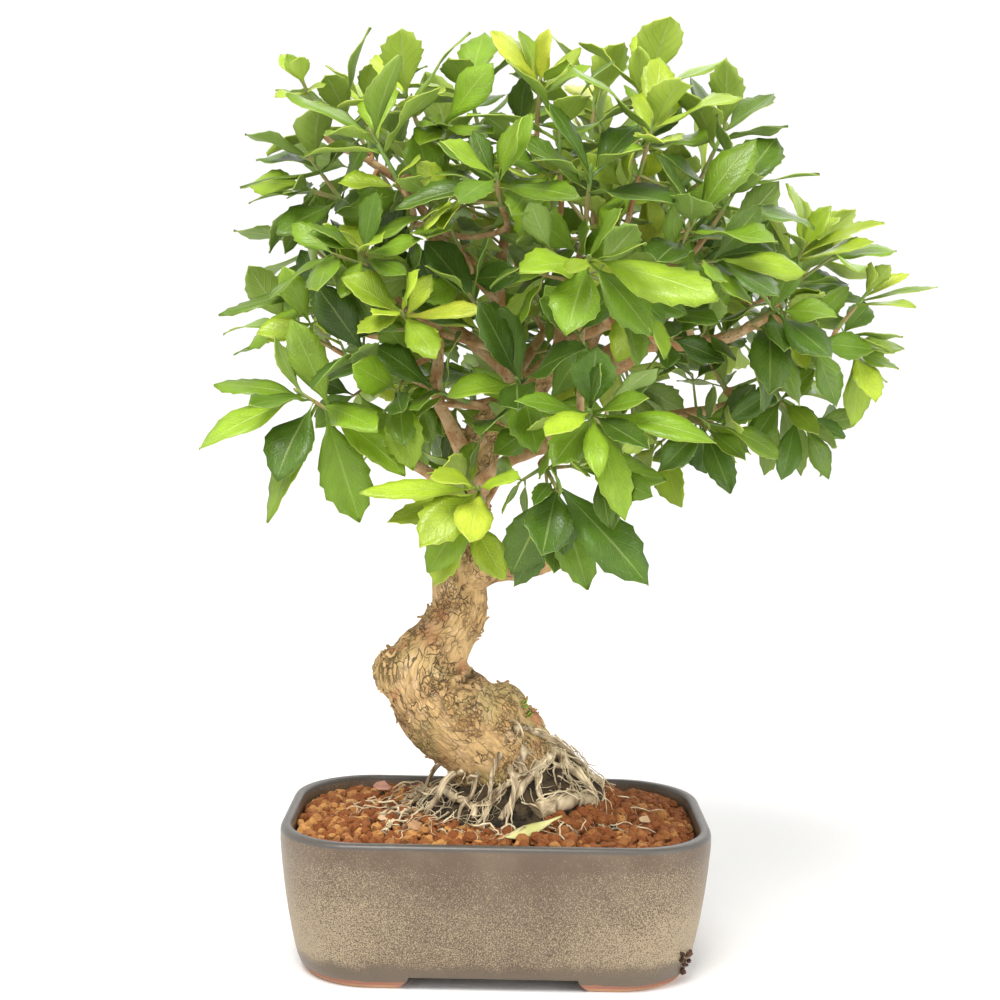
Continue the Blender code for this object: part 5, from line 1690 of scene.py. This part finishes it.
def limb_lines():
    """Every limb and twig, uneven along its length as grown wood is."""
    lines = []
    rng = random.Random(SEED)
    for name, table in LIMBS.items():
        if name == "stump":
            continue
        path, radii = limb_path(table, 8)
        phase = rng.uniform(0, 6)
        radii = [radius * (1 + 0.09 * noise.noise(point * 160.0) + 0.05 * math.sin(i * 1.3
                + phase)) for i, (point, radius) in enumerate(zip(path, radii))]
        lines.append((path, radii))
    for spray in PLANT["stems"]:
        path, radii = spray["twig"]
        rows = [(*point, radius) for point, radius in zip(path, radii)]
        path, radii = limb_path(rows, 6)
        radii = [max(radius, 0.0009) * (1 + 0.10 * noise.noise(point * 220.0)) for point,
                radius in zip(path, radii)]
        lines.append((path, radii))
    return lines


def make_limbs():
    """Limbs and twigs with small scars and rings."""
    limbs = strands("limbs", limb_lines(), 3)
    return give(limbs, "limb_bark")


def surface_of(names):
    """A search tree over finished pieces, for laying things on them."""
    points, faces = [], []
    for name in names:
        mesh = bpy.data.objects[name].data
        start = len(points)
        points += [vertex.co.copy() for vertex in mesh.vertices]
        faces += [[i + start for i in polygon.vertices] for polygon in mesh.polygons]
    return BVHTree.FromPolygons(points, faces)


def root_line(rng, skin_tree, radius):
    """A thin root that creeps over the mound, turning as it goes, now and then off it."""
    bearing = rng.uniform(0, 2 * math.pi)
    wide = max(0.0, -math.cos(bearing)) * 0.42 + max(0.0, -math.sin(bearing)) * 0.18
    out = rng.uniform(0.30, 1.0 + wide * 0.8)
    above = MOUND_CENTRE + Vector((math.cos(bearing) * MOUND_RADIUS[0] * out, math.sin(bearing)
            * MOUND_RADIUS[1] * out, 0.122))
    spot, normal, _, _ = skin_tree.ray_cast(above + SHIFT, Vector((0, 0, -1)))
    heading = Vector((math.cos(bearing), math.sin(bearing), -0.4)) + wander(rng) * 0.9
    if rng.random() < 0.40:
        heading = wander(rng)
    step = rng.uniform(0.0017, 0.0034)
    arc = rng.uniform(0.001, 0.0045) if rng.random() < 0.30 else 0.0
    loose = rng.uniform(0.002, 0.007) if rng.random() < 0.18 else 0.0
    count = rng.randint(8, 15)
    path = []
    for i in range(count):
        if spot is None or distance_to_wall(spot - SHIFT) < 0.004:
            break
        share = i / (count - 1)
        rise = radius * 0.5 + arc * math.sin(math.pi * share) + loose * max(0, share - 0.7) * 3
        path.append(spot - SHIFT + normal * (rise + rng.uniform(0, 0.0005)))
        heading = heading + wander(rng) * 0.30 + Vector((0.0, 0.0, -0.06))
        heading = (heading - normal * heading.dot(normal)).normalized()
        spot, normal, _, _ = skin_tree.find_nearest(spot + heading * step + normal * 0.0012)
    return path


def camera_turn():
    stage = settings("stage")
    return (Matrix.Rotation(math.pi / 2 - stage.tilt, 3, "X") @ Matrix.Rotation(stage.roll, 3,
            "Z"))


def camera_place():
    stage = settings("stage")
    return Vector((SHIFT.x + CAMERA_X, SHIFT.y - stage.distance, stage.height))


def seen_at(pixel, skin_tree):
    """The point of the model under a pixel of the photograph."""
    stage = settings("stage")
    ray = camera_turn() @ Vector(((pixel[0] - HALF_PICTURE) * PIXEL_MM, (HALF_PICTURE - pixel[1])
            * PIXEL_MM, -stage.lens))
    hit, normal, _, _ = skin_tree.ray_cast(camera_place(), ray.normalized())
    return hit, normal


def marked_roots(skin_tree):
    """Roots laid where the photograph shows them, on the mound's own surface."""
    lines = []
    for pixels, radius in MARKED_ROOTS:
        rows = []
        for i, pixel in enumerate(pixels):
            hit, normal = seen_at(pixel, skin_tree)
            if hit is None:
                continue
            taper = radius * (1.0 - 0.45 * i / len(pixels))
            spot = hit - SHIFT + normal * taper * 0.35
            rows.append((*spot, taper))
        path, radii = limb_path(rows, 5)
        path = [point + noise.noise_vector(point * 140.0) * radius * 0.45 for point in path]
        radii = [width * (1 + 0.30 * noise.noise(point * 300.0)) for point, width in zip(path,
                radii)]
        lines.append((path, radii))
    return lines


def make_roots():
    """The mound of peat, thick roots over it, and fine roots over both."""
    mound = give(make_mound_mesh(), "peat")
    remeshed(mound, 0.0020)
    push_out(mound, lambda spot: noise.noise(spot * 170.0) * 0.0019)
    alone(mound)
    bpy.ops.object.shade_smooth()
    ground = surface_of(["root_mound", "trunk", "grains_left", "grains_right", "soil_bed"])
    rng = random.Random(SEED + 3)
    lines = [thick_root(index) for index in range(ROOT_COUNT)] + marked_roots(ground)
    thick = give(strands("thick_roots", lines, 3), "root_skin")
    ground = surface_of(["root_mound", "thick_roots", "grains_left", "grains_right", "soil_bed"])
    lines = []
    for index in range(settings("wood").fine_roots):
        radius = rng.choice([0.00022, 0.00028, 0.00034, 0.00045, 0.00070])
        path = root_line(rng, ground, radius)
        if len(path) < 5:
            continue
        taper = [radius * (1 - 0.6 * i / len(path)) for i in range(len(path))]
        lines.append((path, taper))
    fine = give(strands("fine_roots", lines, 0), "root_skin")
    for thing, base in ((thick, 0.46), (fine, 0.72)):
        tones = []
        for vertex in thing.data.vertices:
            bearing = math.atan2(vertex.co.y - SHIFT.y, vertex.co.x - SHIFT.x)
            strand = noise.noise(Vector((bearing * 22.0, vertex.co.z * 30.0, 0.0)))
            tones.append(min(1.0, max(0.0, base + strand * 0.9 + 0.5 * noise.noise(vertex.co
                    * 130.0))))
        float_attribute(thing.data, "tone", tones)
    bed = surface_of(["root_mound", "grains_left", "grains_right", "soil_bed"])
    return [mound, thick, fine, make_crumbs(rng, bed, mound)]


def crumb(rng, shapes, spot, size):
    """One turned crumb for merged()."""
    turn = wander(rng).to_track_quat("Z", "Y")
    return rng.choice(shapes), Matrix.LocRotScale(spot, turn, Vector((size,) * 3)), rng.random()


def make_crumbs(rng, ground, mound):
    """Dark crumbs of peat on the mound's slopes and over its skirt."""
    shapes = grain_shapes(rng, kinds=3, fineness=1, cuts=3)
    slopes = [vertex.co for vertex in mound.data.vertices if vertex.co.z > MOUND_SOIL_LINE - 0.004]
    parts = [crumb(rng, shapes, rng.choice(slopes), rng.uniform(0.0005, 0.0013))
            for _ in range(MOUND_CRUMBS)]
    while len(parts) < MOUND_CRUMBS + SKIRT_CRUMBS:
        angle = rng.uniform(0, 2 * math.pi)
        wide = max(0.0, -math.cos(angle)) * 0.45 + max(0.0, -math.sin(angle)) * 0.12
        out = rng.uniform(0.85, 1.06 + wide)
        spot = MOUND_CENTRE + Vector((math.cos(angle) * MOUND_RADIUS[0] * out, math.sin(angle)
                * MOUND_RADIUS[1] * out, 0.0))
        hit, _, _, _ = ground.ray_cast(spot + SHIFT + Vector((0, 0, 0.122)), Vector((0, 0, -1)))
        parts.append(crumb(rng, shapes, hit, rng.uniform(0.0004, 0.0012)))
    return give(merged("peat_crumbs", parts), "peat")


def make_foot_grains(rng):
    """Grains heaped against the mound's right front foot."""
    shapes = grain_shapes(rng)
    ground = surface_of(["root_mound", "grains_right", "soil_bed"])
    parts = []
    for _ in range(FOOT_GRAINS):
        angle = rng.uniform(*FOOT_SPAN)
        out = rng.uniform(0.84, 1.06)
        spot = MOUND_CENTRE + Vector((math.cos(angle) * MOUND_RADIUS[0] * out, math.sin(angle)
                * MOUND_RADIUS[1] * out, 0.122))
        hit, _, _, _ = ground.ray_cast(spot + SHIFT, Vector((0, 0, -1)))
        if hit.z < FOOT_TOP:
            parts.append(crumb(rng, shapes, hit, rng.uniform(0.0018, 0.0036)))
    heap = merged("foot_grains", [(mesh, matrix, 0.6 * tone) for mesh, matrix, tone in parts])
    alone(heap)
    bpy.ops.object.shade_smooth_by_angle(angle=math.radians(32))
    return give(heap, "baked_clay")


def make_clod(rng):
    """Dirt that clings to the pot's right front corner."""
    shapes = grain_shapes(rng, kinds=3, fineness=1, cuts=3)
    wall = surface_of(["pot_shell"])
    parts = []
    for _ in range(CLOD_CRUMBS):
        pixel = (rng.uniform(*CLOD_ACROSS), rng.uniform(*CLOD_DOWN))
        spot, normal = seen_at(pixel, wall)
        if spot is not None:
            size = rng.uniform(0.0006, 0.0015)
            parts.append(crumb(rng, shapes, spot + normal * size * 0.8, size))
    return merged("dirt_clod", parts)


def thick_root(index):
    """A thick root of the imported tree, slimmer and more crooked."""
    path, radii = root_path(index)
    path[0] = path[0].lerp(path[1], 0.45)
    rows = [(*point, radius * 0.52) for point, radius in zip(path, radii)]
    path, radii = limb_path(rows, 6)
    path = [point + noise.noise_vector(point * 130.0) * 0.0022 for point in path]
    radii = [radius * (1 + 0.25 * noise.noise(point * 260.0)) for point, radius in zip(path,
            radii)]
    return path, radii


def make_leaves():
    """One piece for each leafy stem, from blades bent on one flat grid."""
    rng = random.Random(SEED)
    sheet = leaf_sheet()
    for spray in PLANT["stems"]:
        dress_leaves(spray, rng)
        name = "foliage_" + spray["name"]
        blades = [shape_blade(sheet, leaf, rng) for leaf in spray["leaves"]]
        foliage = thicken(blades, name)
        stem = give(strands("stem", stem_lines(spray), 1), "green_stem")
        whole = joined([foliage, stem], name)
        place(whole, "leaf_" + spray["age"], "leafy_stem_" + spray["name"])
    fill_inside(sheet, rng)
    bpy.data.objects.remove(sheet)


def fill_inside(sheet, rng):
    """Small leaves on short shoots along twigs and limbs, in the crown's gaps."""
    groups = {}
    for index, shoot in enumerate(PLANT["shoots"]):
        for leaf in shoot["leaves"]:
            leaf["age"] = leaf_age(shoot["age"], rng)
            leaf["tone"] = rng.random()
        groups.setdefault(index % 4, []).append(shoot)
    for key, shoots in groups.items():
        name = f"inner_leaves_{key}"
        blades = [shape_blade(sheet, leaf, rng) for shoot in shoots for leaf in shoot["leaves"]]
        foliage = thicken(blades, name)
        lines = [([shoot["stem"][0], shoot["stem"][1]], [0.0011, 0.0007]) for shoot in shoots]
        stem = give(strands("stem", lines, 0), "green_stem")
        whole = joined([foliage, stem], name)
        place(whole, "leaf_mid")


def plan_inner(sprays, wood, taken):
    """Short shoots from twigs and limbs, then longer ones into the crown's gaps."""
    rng = random.Random(SEED + 9)
    lines = [spray["twig"][0] for spray in sprays]
    for name, table in LIMBS.items():
        if name != "stump":
            lines.append(limb_path(table, 3)[0][4:])
    shoots = []
    for _ in range(SHORT_TRIES):
        if len(shoots) == SHORT_SHOOTS:
            break
        line = rng.choice(lines)
        i = rng.randrange(len(line) - 1)
        foot = line[i].lerp(line[i + 1], rng.random())
        out = (foot - CROWN_HEART).normalized() * 0.8
        out = (out + wander(rng) + Vector((0, -0.25, 0.35))).normalized()
        shoot = new_shoot(foot, foot + out * rng.uniform(0.006, 0.013), rng)
        if grow_shoot(shoot, 5, rng, wood, taken, 2):
            shoots.append(shoot)
    wanted = len(shoots) + GAP_SHOOTS
    for _ in range(GAP_TRIES):
        if len(shoots) == wanted:
            break
        spray = rng.choice(sprays)
        spot = CROWN_HEART.lerp(spray["stem"][1], rng.uniform(0.55, 1.02)) + wander(rng) * 0.022
        if hides_limbs(spot):
            continue
        foot = nearest_on_lines(spot, lines)
        reach = (spot - foot).length
        if not 0.009 < reach < 0.034:
            continue
        shoot = new_shoot(foot, spot, rng)
        bar = bars([foot.lerp(spot, 0.15), spot], [0.0009], 0.0002)
        near = (other for _, centre, _, other in taken if (centre - spot).length < 0.045)
        if any(bar.overlap(other) for other in near):
            continue
        if grow_shoot(shoot, 7, rng, wood, taken, 3):
            shoots.append(shoot)
    return shoots


def pixel_of(spot):
    """Where a place shows in the photograph."""
    turned = camera_turn().transposed() @ (spot + SHIFT - camera_place())
    scale = settings("stage").lens / PIXEL_MM / -turned.z
    return HALF_PICTURE + turned.x * scale, HALF_PICTURE - turned.y * scale


def hides_limbs(spot):
    """True where the photograph looks in past the leaves on the limbs."""
    x, y = pixel_of(spot)
    return spot.y < 0.03 and any(left < x < right and top < y < bottom for left, top, right,
            bottom in OPEN_WINDOWS)


def new_shoot(foot, tip, rng):
    return {"name": "shoot", "stem": [foot, tip], "leaves": [], "size": rng.uniform(0.028, 0.042),
            "age": rng.choice(["old", "mid", "mid", "young"])}


def nearest_on_lines(spot, lines):
    """The nearest point of the wood's centre lines."""
    best = None
    for line in lines:
        for start, end in zip(line, line[1:]):
            run = end - start
            share = max(0.0, min(1.0, (spot - start).dot(run) / run.length_squared))
            point = start + run * share
            away = (spot - point).length_squared
            if best is None or away < best[0]:
                best = (away, point)
    return best[1]


def grow_shoot(shoot, count, rng, wood, taken, least):
    """Put leaves round a shoot's tip; False if too few find room, and none is kept."""
    foot, tip = shoot["stem"]
    out = (tip - foot).normalized()
    spin = rng.uniform(0, math.pi)
    across = out.orthogonal().normalized()
    before = len(taken)
    for index in range(count):
        turn = spin + math.pi * index + math.pi / 2 * (index // 2) + rng.uniform(-0.3, 0.3)
        lean = math.radians(rng.uniform(25, 80))
        outward = Matrix.Rotation(turn, 3, out) @ across
        aim = out * math.cos(lean) + outward * math.sin(lean)
        size = shoot["size"] * rng.uniform(0.75, 1.15)
        sky = out * 0.8 + Vector((0.0, -0.25, 0.6))
        root = tip - out * 0.0015 * (index // 2)
        leaf = new_leaf(root, root + aim * size, size * rng.uniform(0.40, 0.50), sky, rng)
        fits(leaf, shoot, wood, taken)
    if len(shoot["leaves"]) < least:
        del taken[before:]
        return False
    return True


def laid_leaf(sheet, root, tip, width, up, age, tone, rng):
    """A single leaf from a root to a tip in the plant's own frame."""
    leaf = new_leaf(root, tip, width, up, rng)
    leaf["droop"] = 0.02
    leaf["age"], leaf["tone"] = age, tone
    return shape_blade(sheet, leaf, rng)


def make_litter():
    """A fallen leaf, chips of stone and bark, and sprouts low on the trunk."""
    rng = random.Random(SEED + 21)
    sheet = leaf_sheet()
    heap = make_foot_grains(rng)
    ground = surface_of(["grains_left", "grains_right", "foot_grains", "soil_bed", "trunk",
            "root_mound"])
    rise = Vector((0.0, 0.0, 0.0022))
    root, _ = seen_at((562, 822), ground)
    tip, _ = seen_at((506, 840), ground)
    fallen = laid_leaf(sheet, root - SHIFT + rise * 1.4, tip - SHIFT + rise, 0.0070,
            Vector((-0.1, 0.5, -0.85)), 0.60, 0.5, rng)
    fallen = thicken([fallen], "fallen_leaf")
    dry = plain_colour("dry_leaf", (0.50, 0.49, 0.17, 1.0), (0.66, 0.64, 0.29, 1.0), 0.6, 60.0)
    for slot in fallen.material_slots:
        slot.material = dry
    sprouts = []
    for pixel in ((521, 705), (526, 717)):
        foot, normal = seen_at(pixel, ground)
        for _ in range(3):
            reach = (normal + wander(rng) * 0.9 + Vector((0, 0, 0.4))).normalized()
            sprouts.append(laid_leaf(sheet, foot - SHIFT, foot - SHIFT + reach * 0.0040, 0.0022,
                    Vector((0.0, -0.4, 0.8)), 0.5, 0.5, rng))
    sprouts = thicken(sprouts, "trunk_sprouts")
    bpy.data.objects.remove(sheet)
    clod = make_clod(rng)
    clod.data.materials.append(plain_colour("dirt", (0.040, 0.019, 0.010, 1.0), (0.130, 0.060,
            0.034, 1.0), 0.95))
    made = [(fallen, "leaf_young"), (sprouts, "leaf_mid"), (clod, "clay_grains"),
            (heap, "clay_grains")]
    for name, pixel, size, colour in CHIPS:
        spot, _ = seen_at(pixel, ground)
        made.append((make_chip(name, spot, size, colour, rng), "clay_grains"))
    return made


def make_chip(name, spot, size, colour, rng):
    """A flat broken chip that leans on the grains."""
    bpy.ops.mesh.primitive_cylinder_add(vertices=7, radius=1.0, depth=0.22)
    chip = active()
    chip.name = name
    edit_all()
    bpy.ops.mesh.bevel(offset=0.05, segments=1)
    bpy.ops.mesh.select_all(action="SELECT")
    bpy.ops.mesh.bisect(plane_co=(0.35, 0.2, 0.0), plane_no=(0.9, 0.5, 0.1), clear_outer=True,
            use_fill=True)
    bpy.ops.object.mode_set(mode="OBJECT")
    tilt = (Vector((0, 0, 1)) + Vector((rng.gauss(0, 0.3), -0.45, 0.0))).to_track_quat("Z", "Y")
    matrix = Matrix.LocRotScale(spot + Vector((0, 0, size[2])), tilt, Vector(size))
    for vertex in chip.data.vertices:
        vertex.co = matrix @ (vertex.co * (1 + 0.18 * noise.noise(vertex.co * 2.0)))
    chip.data.materials.append(plain_colour(name + "_stone", colour,
            tuple(0.7 * c for c in colour[:3]) + (1.0,), 0.85))
    return chip


def lamp(name, kind, energy, size, spot, aim, colour=(1.0, 1.0, 1.0)):
    data = bpy.data.lights.new(name, kind)
    data.energy = energy
    data.color = colour
    if kind == "AREA":
        data.shape = "RECTANGLE"
        data.size, data.size_y = size
    thing = bpy.data.objects.new(name, data)
    thing.location = spot
    thing.rotation_euler = (Vector(aim) - Vector(spot)).to_track_quat("-Z", "Y").to_euler()
    bpy.context.scene.collection.objects.link(thing)


def make_bowl():
    """A pale floor that rises all round into a backdrop, so no horizon shows."""
    bpy.ops.mesh.primitive_circle_add(vertices=64, radius=1.3, fill_type="NGON", location=(0.0,
            0.0, -0.0002))
    floor = active()
    floor.name = "floor"
    edit_all()
    radius = 1.3
    for angle in (15, 30, 45, 60, 75, 90):
        wider = 1.3 + 1.1 * math.sin(math.radians(angle))
        rise = 1.1 * (math.cos(math.radians(angle - 15)) - math.cos(math.radians(angle)))
        bpy.ops.mesh.extrude_region_move(TRANSFORM_OT_translate={"value": (0.0, 0.0, rise)})
        bpy.ops.transform.resize(value=(wider / radius, wider / radius, 1.0), center_override=(0.0,
                0.0, 0.0))
        radius = wider
    bpy.ops.mesh.extrude_region_move(TRANSFORM_OT_translate={"value": (0.0, 0.0, 1.4)})
    bpy.ops.mesh.delete(type="ONLY_FACE")
    bpy.ops.object.mode_set(mode="OBJECT")
    bpy.ops.object.transform_apply(location=True, rotation=False, scale=False)
    bpy.ops.object.shade_smooth()
    return floor


def make_stage():
    """The pale bowl, soft light from the front left, and the camera."""
    stage = settings("stage")
    floor = make_bowl()
    paper = plain_colour("pale_paper", (0.84, 0.84, 0.84, 1.0), (0.86, 0.86, 0.86, 1.0), 0.9, 2.0)
    floor.data.materials.append(paper)
    world = bpy.context.scene.world or bpy.data.worlds.new("studio")
    bpy.context.scene.world = world
    world.use_nodes = True
    back = world.node_tree.nodes["Background"]
    back.inputs["Color"].default_value = (1.0, 0.99, 0.98, 1.0)
    back.inputs["Strength"].default_value = 0.64
    lamp("key", "AREA", 47.0, (1.0, 1.0), (-0.45, -1.0, 1.9), (0, 0, 0.25), (1.0, 0.98, 0.95))
    lamp("fill", "AREA", 11.0, (1.4, 1.0), (1.3, -1.0, 0.8), (0, 0, 0.25))
    lamp("back", "AREA", 8.0, (1.2, 1.2), (0.4, 1.3, 1.3), (0, 0, 0.2))
    camera = bpy.data.cameras.new("camera")
    camera.lens = stage.lens
    camera.sensor_width = SENSOR_MM
    thing = bpy.data.objects.new("camera", camera)
    thing.location = camera_place()
    thing.rotation_euler = camera_turn().to_euler()
    bpy.context.scene.collection.objects.link(thing)
    bpy.context.scene.camera = thing
    bpy.context.scene.view_settings.view_transform = "Standard"


PLANT = {}


class BONSAI_OT_pot(bpy.types.Operator):
    """Make the pot with its rolled lip, glaze and bare feet"""
    bl_idname = "bonsai.pot"
    bl_label = "Glazed pot"

    def execute(self, context):
        place(make_pot(), "glazed_pot", "pot")
        return {"FINISHED"}


class BONSAI_OT_soil(bpy.types.Operator):
    """Lay the clay grains round the root mound"""
    bl_idname = "bonsai.soil"
    bl_label = "Clay grains"

    def execute(self, context):
        place(make_soil_bed(), "clay_grains", "soil")
        for pile in make_grains():
            place(pile, "clay_grains")
        return {"FINISHED"}


class BONSAI_OT_wood(bpy.types.Operator):
    """Grow the trunk with its knots and furrowed bark, then the limbs and twigs"""
    bl_idname = "bonsai.wood"
    bl_label = "Trunk and limbs"

    def execute(self, context):
        trunk = make_trunk()
        place(trunk, "bark", "tree")
        place(bark_flakes(trunk, FLAKES), "bark")
        place(make_limbs(), "bark", "tree")
        return {"FINISHED"}


class BONSAI_OT_roots(bpy.types.Operator):
    """Lay thick and fine roots over the mound"""
    bl_idname = "bonsai.roots"
    bl_label = "Roots"

    def execute(self, context):
        for piece in make_roots():
            place(piece, "bark")
        return {"FINISHED"}


class BONSAI_OT_leaves(bpy.types.Operator):
    """Dress every leafy stem, then add the small inner leaves"""
    bl_idname = "bonsai.leaves"
    bl_label = "Leaves"

    def execute(self, context):
        make_leaves()
        return {"FINISHED"}


class BONSAI_OT_litter(bpy.types.Operator):
    """Add what lies on the soil: a fallen leaf, chips and small sprouts"""
    bl_idname = "bonsai.litter"
    bl_label = "Litter"

    def execute(self, context):
        for piece, slot in make_litter():
            place(piece, slot)
        return {"FINISHED"}


class BONSAI_OT_stage(bpy.types.Operator):
    """Set the floor, lights and camera"""
    bl_idname = "bonsai.stage"
    bl_label = "Stage"

    def execute(self, context):
        make_stage()
        return {"FINISHED"}


class BONSAI_PT_panel(bpy.types.Panel):
    """Lists the bonsai's pieces and their settings"""
    bl_label = "Bonsai"
    bl_idname = "BONSAI_PT_panel"
    bl_space_type = "VIEW_3D"
    bl_region_type = "UI"
    bl_category = "Bonsai"

    def draw(self, context):
        for operator, group in STEPS:
            self.layout.operator(operator.bl_idname)
            if group:
                holder = getattr(context.scene, "bonsai_" + group)
                for name in holder.bl_rna.properties.keys():
                    if name not in ("rna_type", "name"):
                        self.layout.prop(holder, name)


STEPS = [(BONSAI_OT_pot, "pot"), (BONSAI_OT_soil, "soil"), (BONSAI_OT_wood, "wood"),
    (BONSAI_OT_roots, None), (BONSAI_OT_leaves, "leaf"), (BONSAI_OT_litter, None),
    (BONSAI_OT_stage, "stage")]
GROUPS = {"pot": BonsaiPot, "soil": BonsaiSoil, "wood": BonsaiWood, "leaf": BonsaiLeaf,
    "stage": BonsaiStage}


def register():
    for name, group in GROUPS.items():
        bpy.utils.register_class(group)
        setattr(bpy.types.Scene, "bonsai_" + name, PointerProperty(type=group))
    for operator, _ in STEPS:
        bpy.utils.register_class(operator)
    bpy.utils.register_class(BONSAI_PT_panel)


def unregister():
    bpy.utils.unregister_class(BONSAI_PT_panel)
    for operator, _ in reversed(STEPS):
        bpy.utils.unregister_class(operator)
    for name, group in GROUPS.items():
        delattr(bpy.types.Scene, "bonsai_" + name)
        bpy.utils.unregister_class(group)


def main():
    register()
    noise.seed_set(SEED)
    PLANT["stems"], PLANT["shoots"] = plan_all()
    for maker in (leaf_upper, leaf_under, leaf_edge, green_stem, flake, trunk_bark, limb_bark,
            root_skin, peat, baked_clay, glaze):
        maker()
    for operator, _ in STEPS:
        family, name = operator.bl_idname.split(".")
        getattr(getattr(bpy.ops, family), name)()


if __name__ == "__main__":
    main()
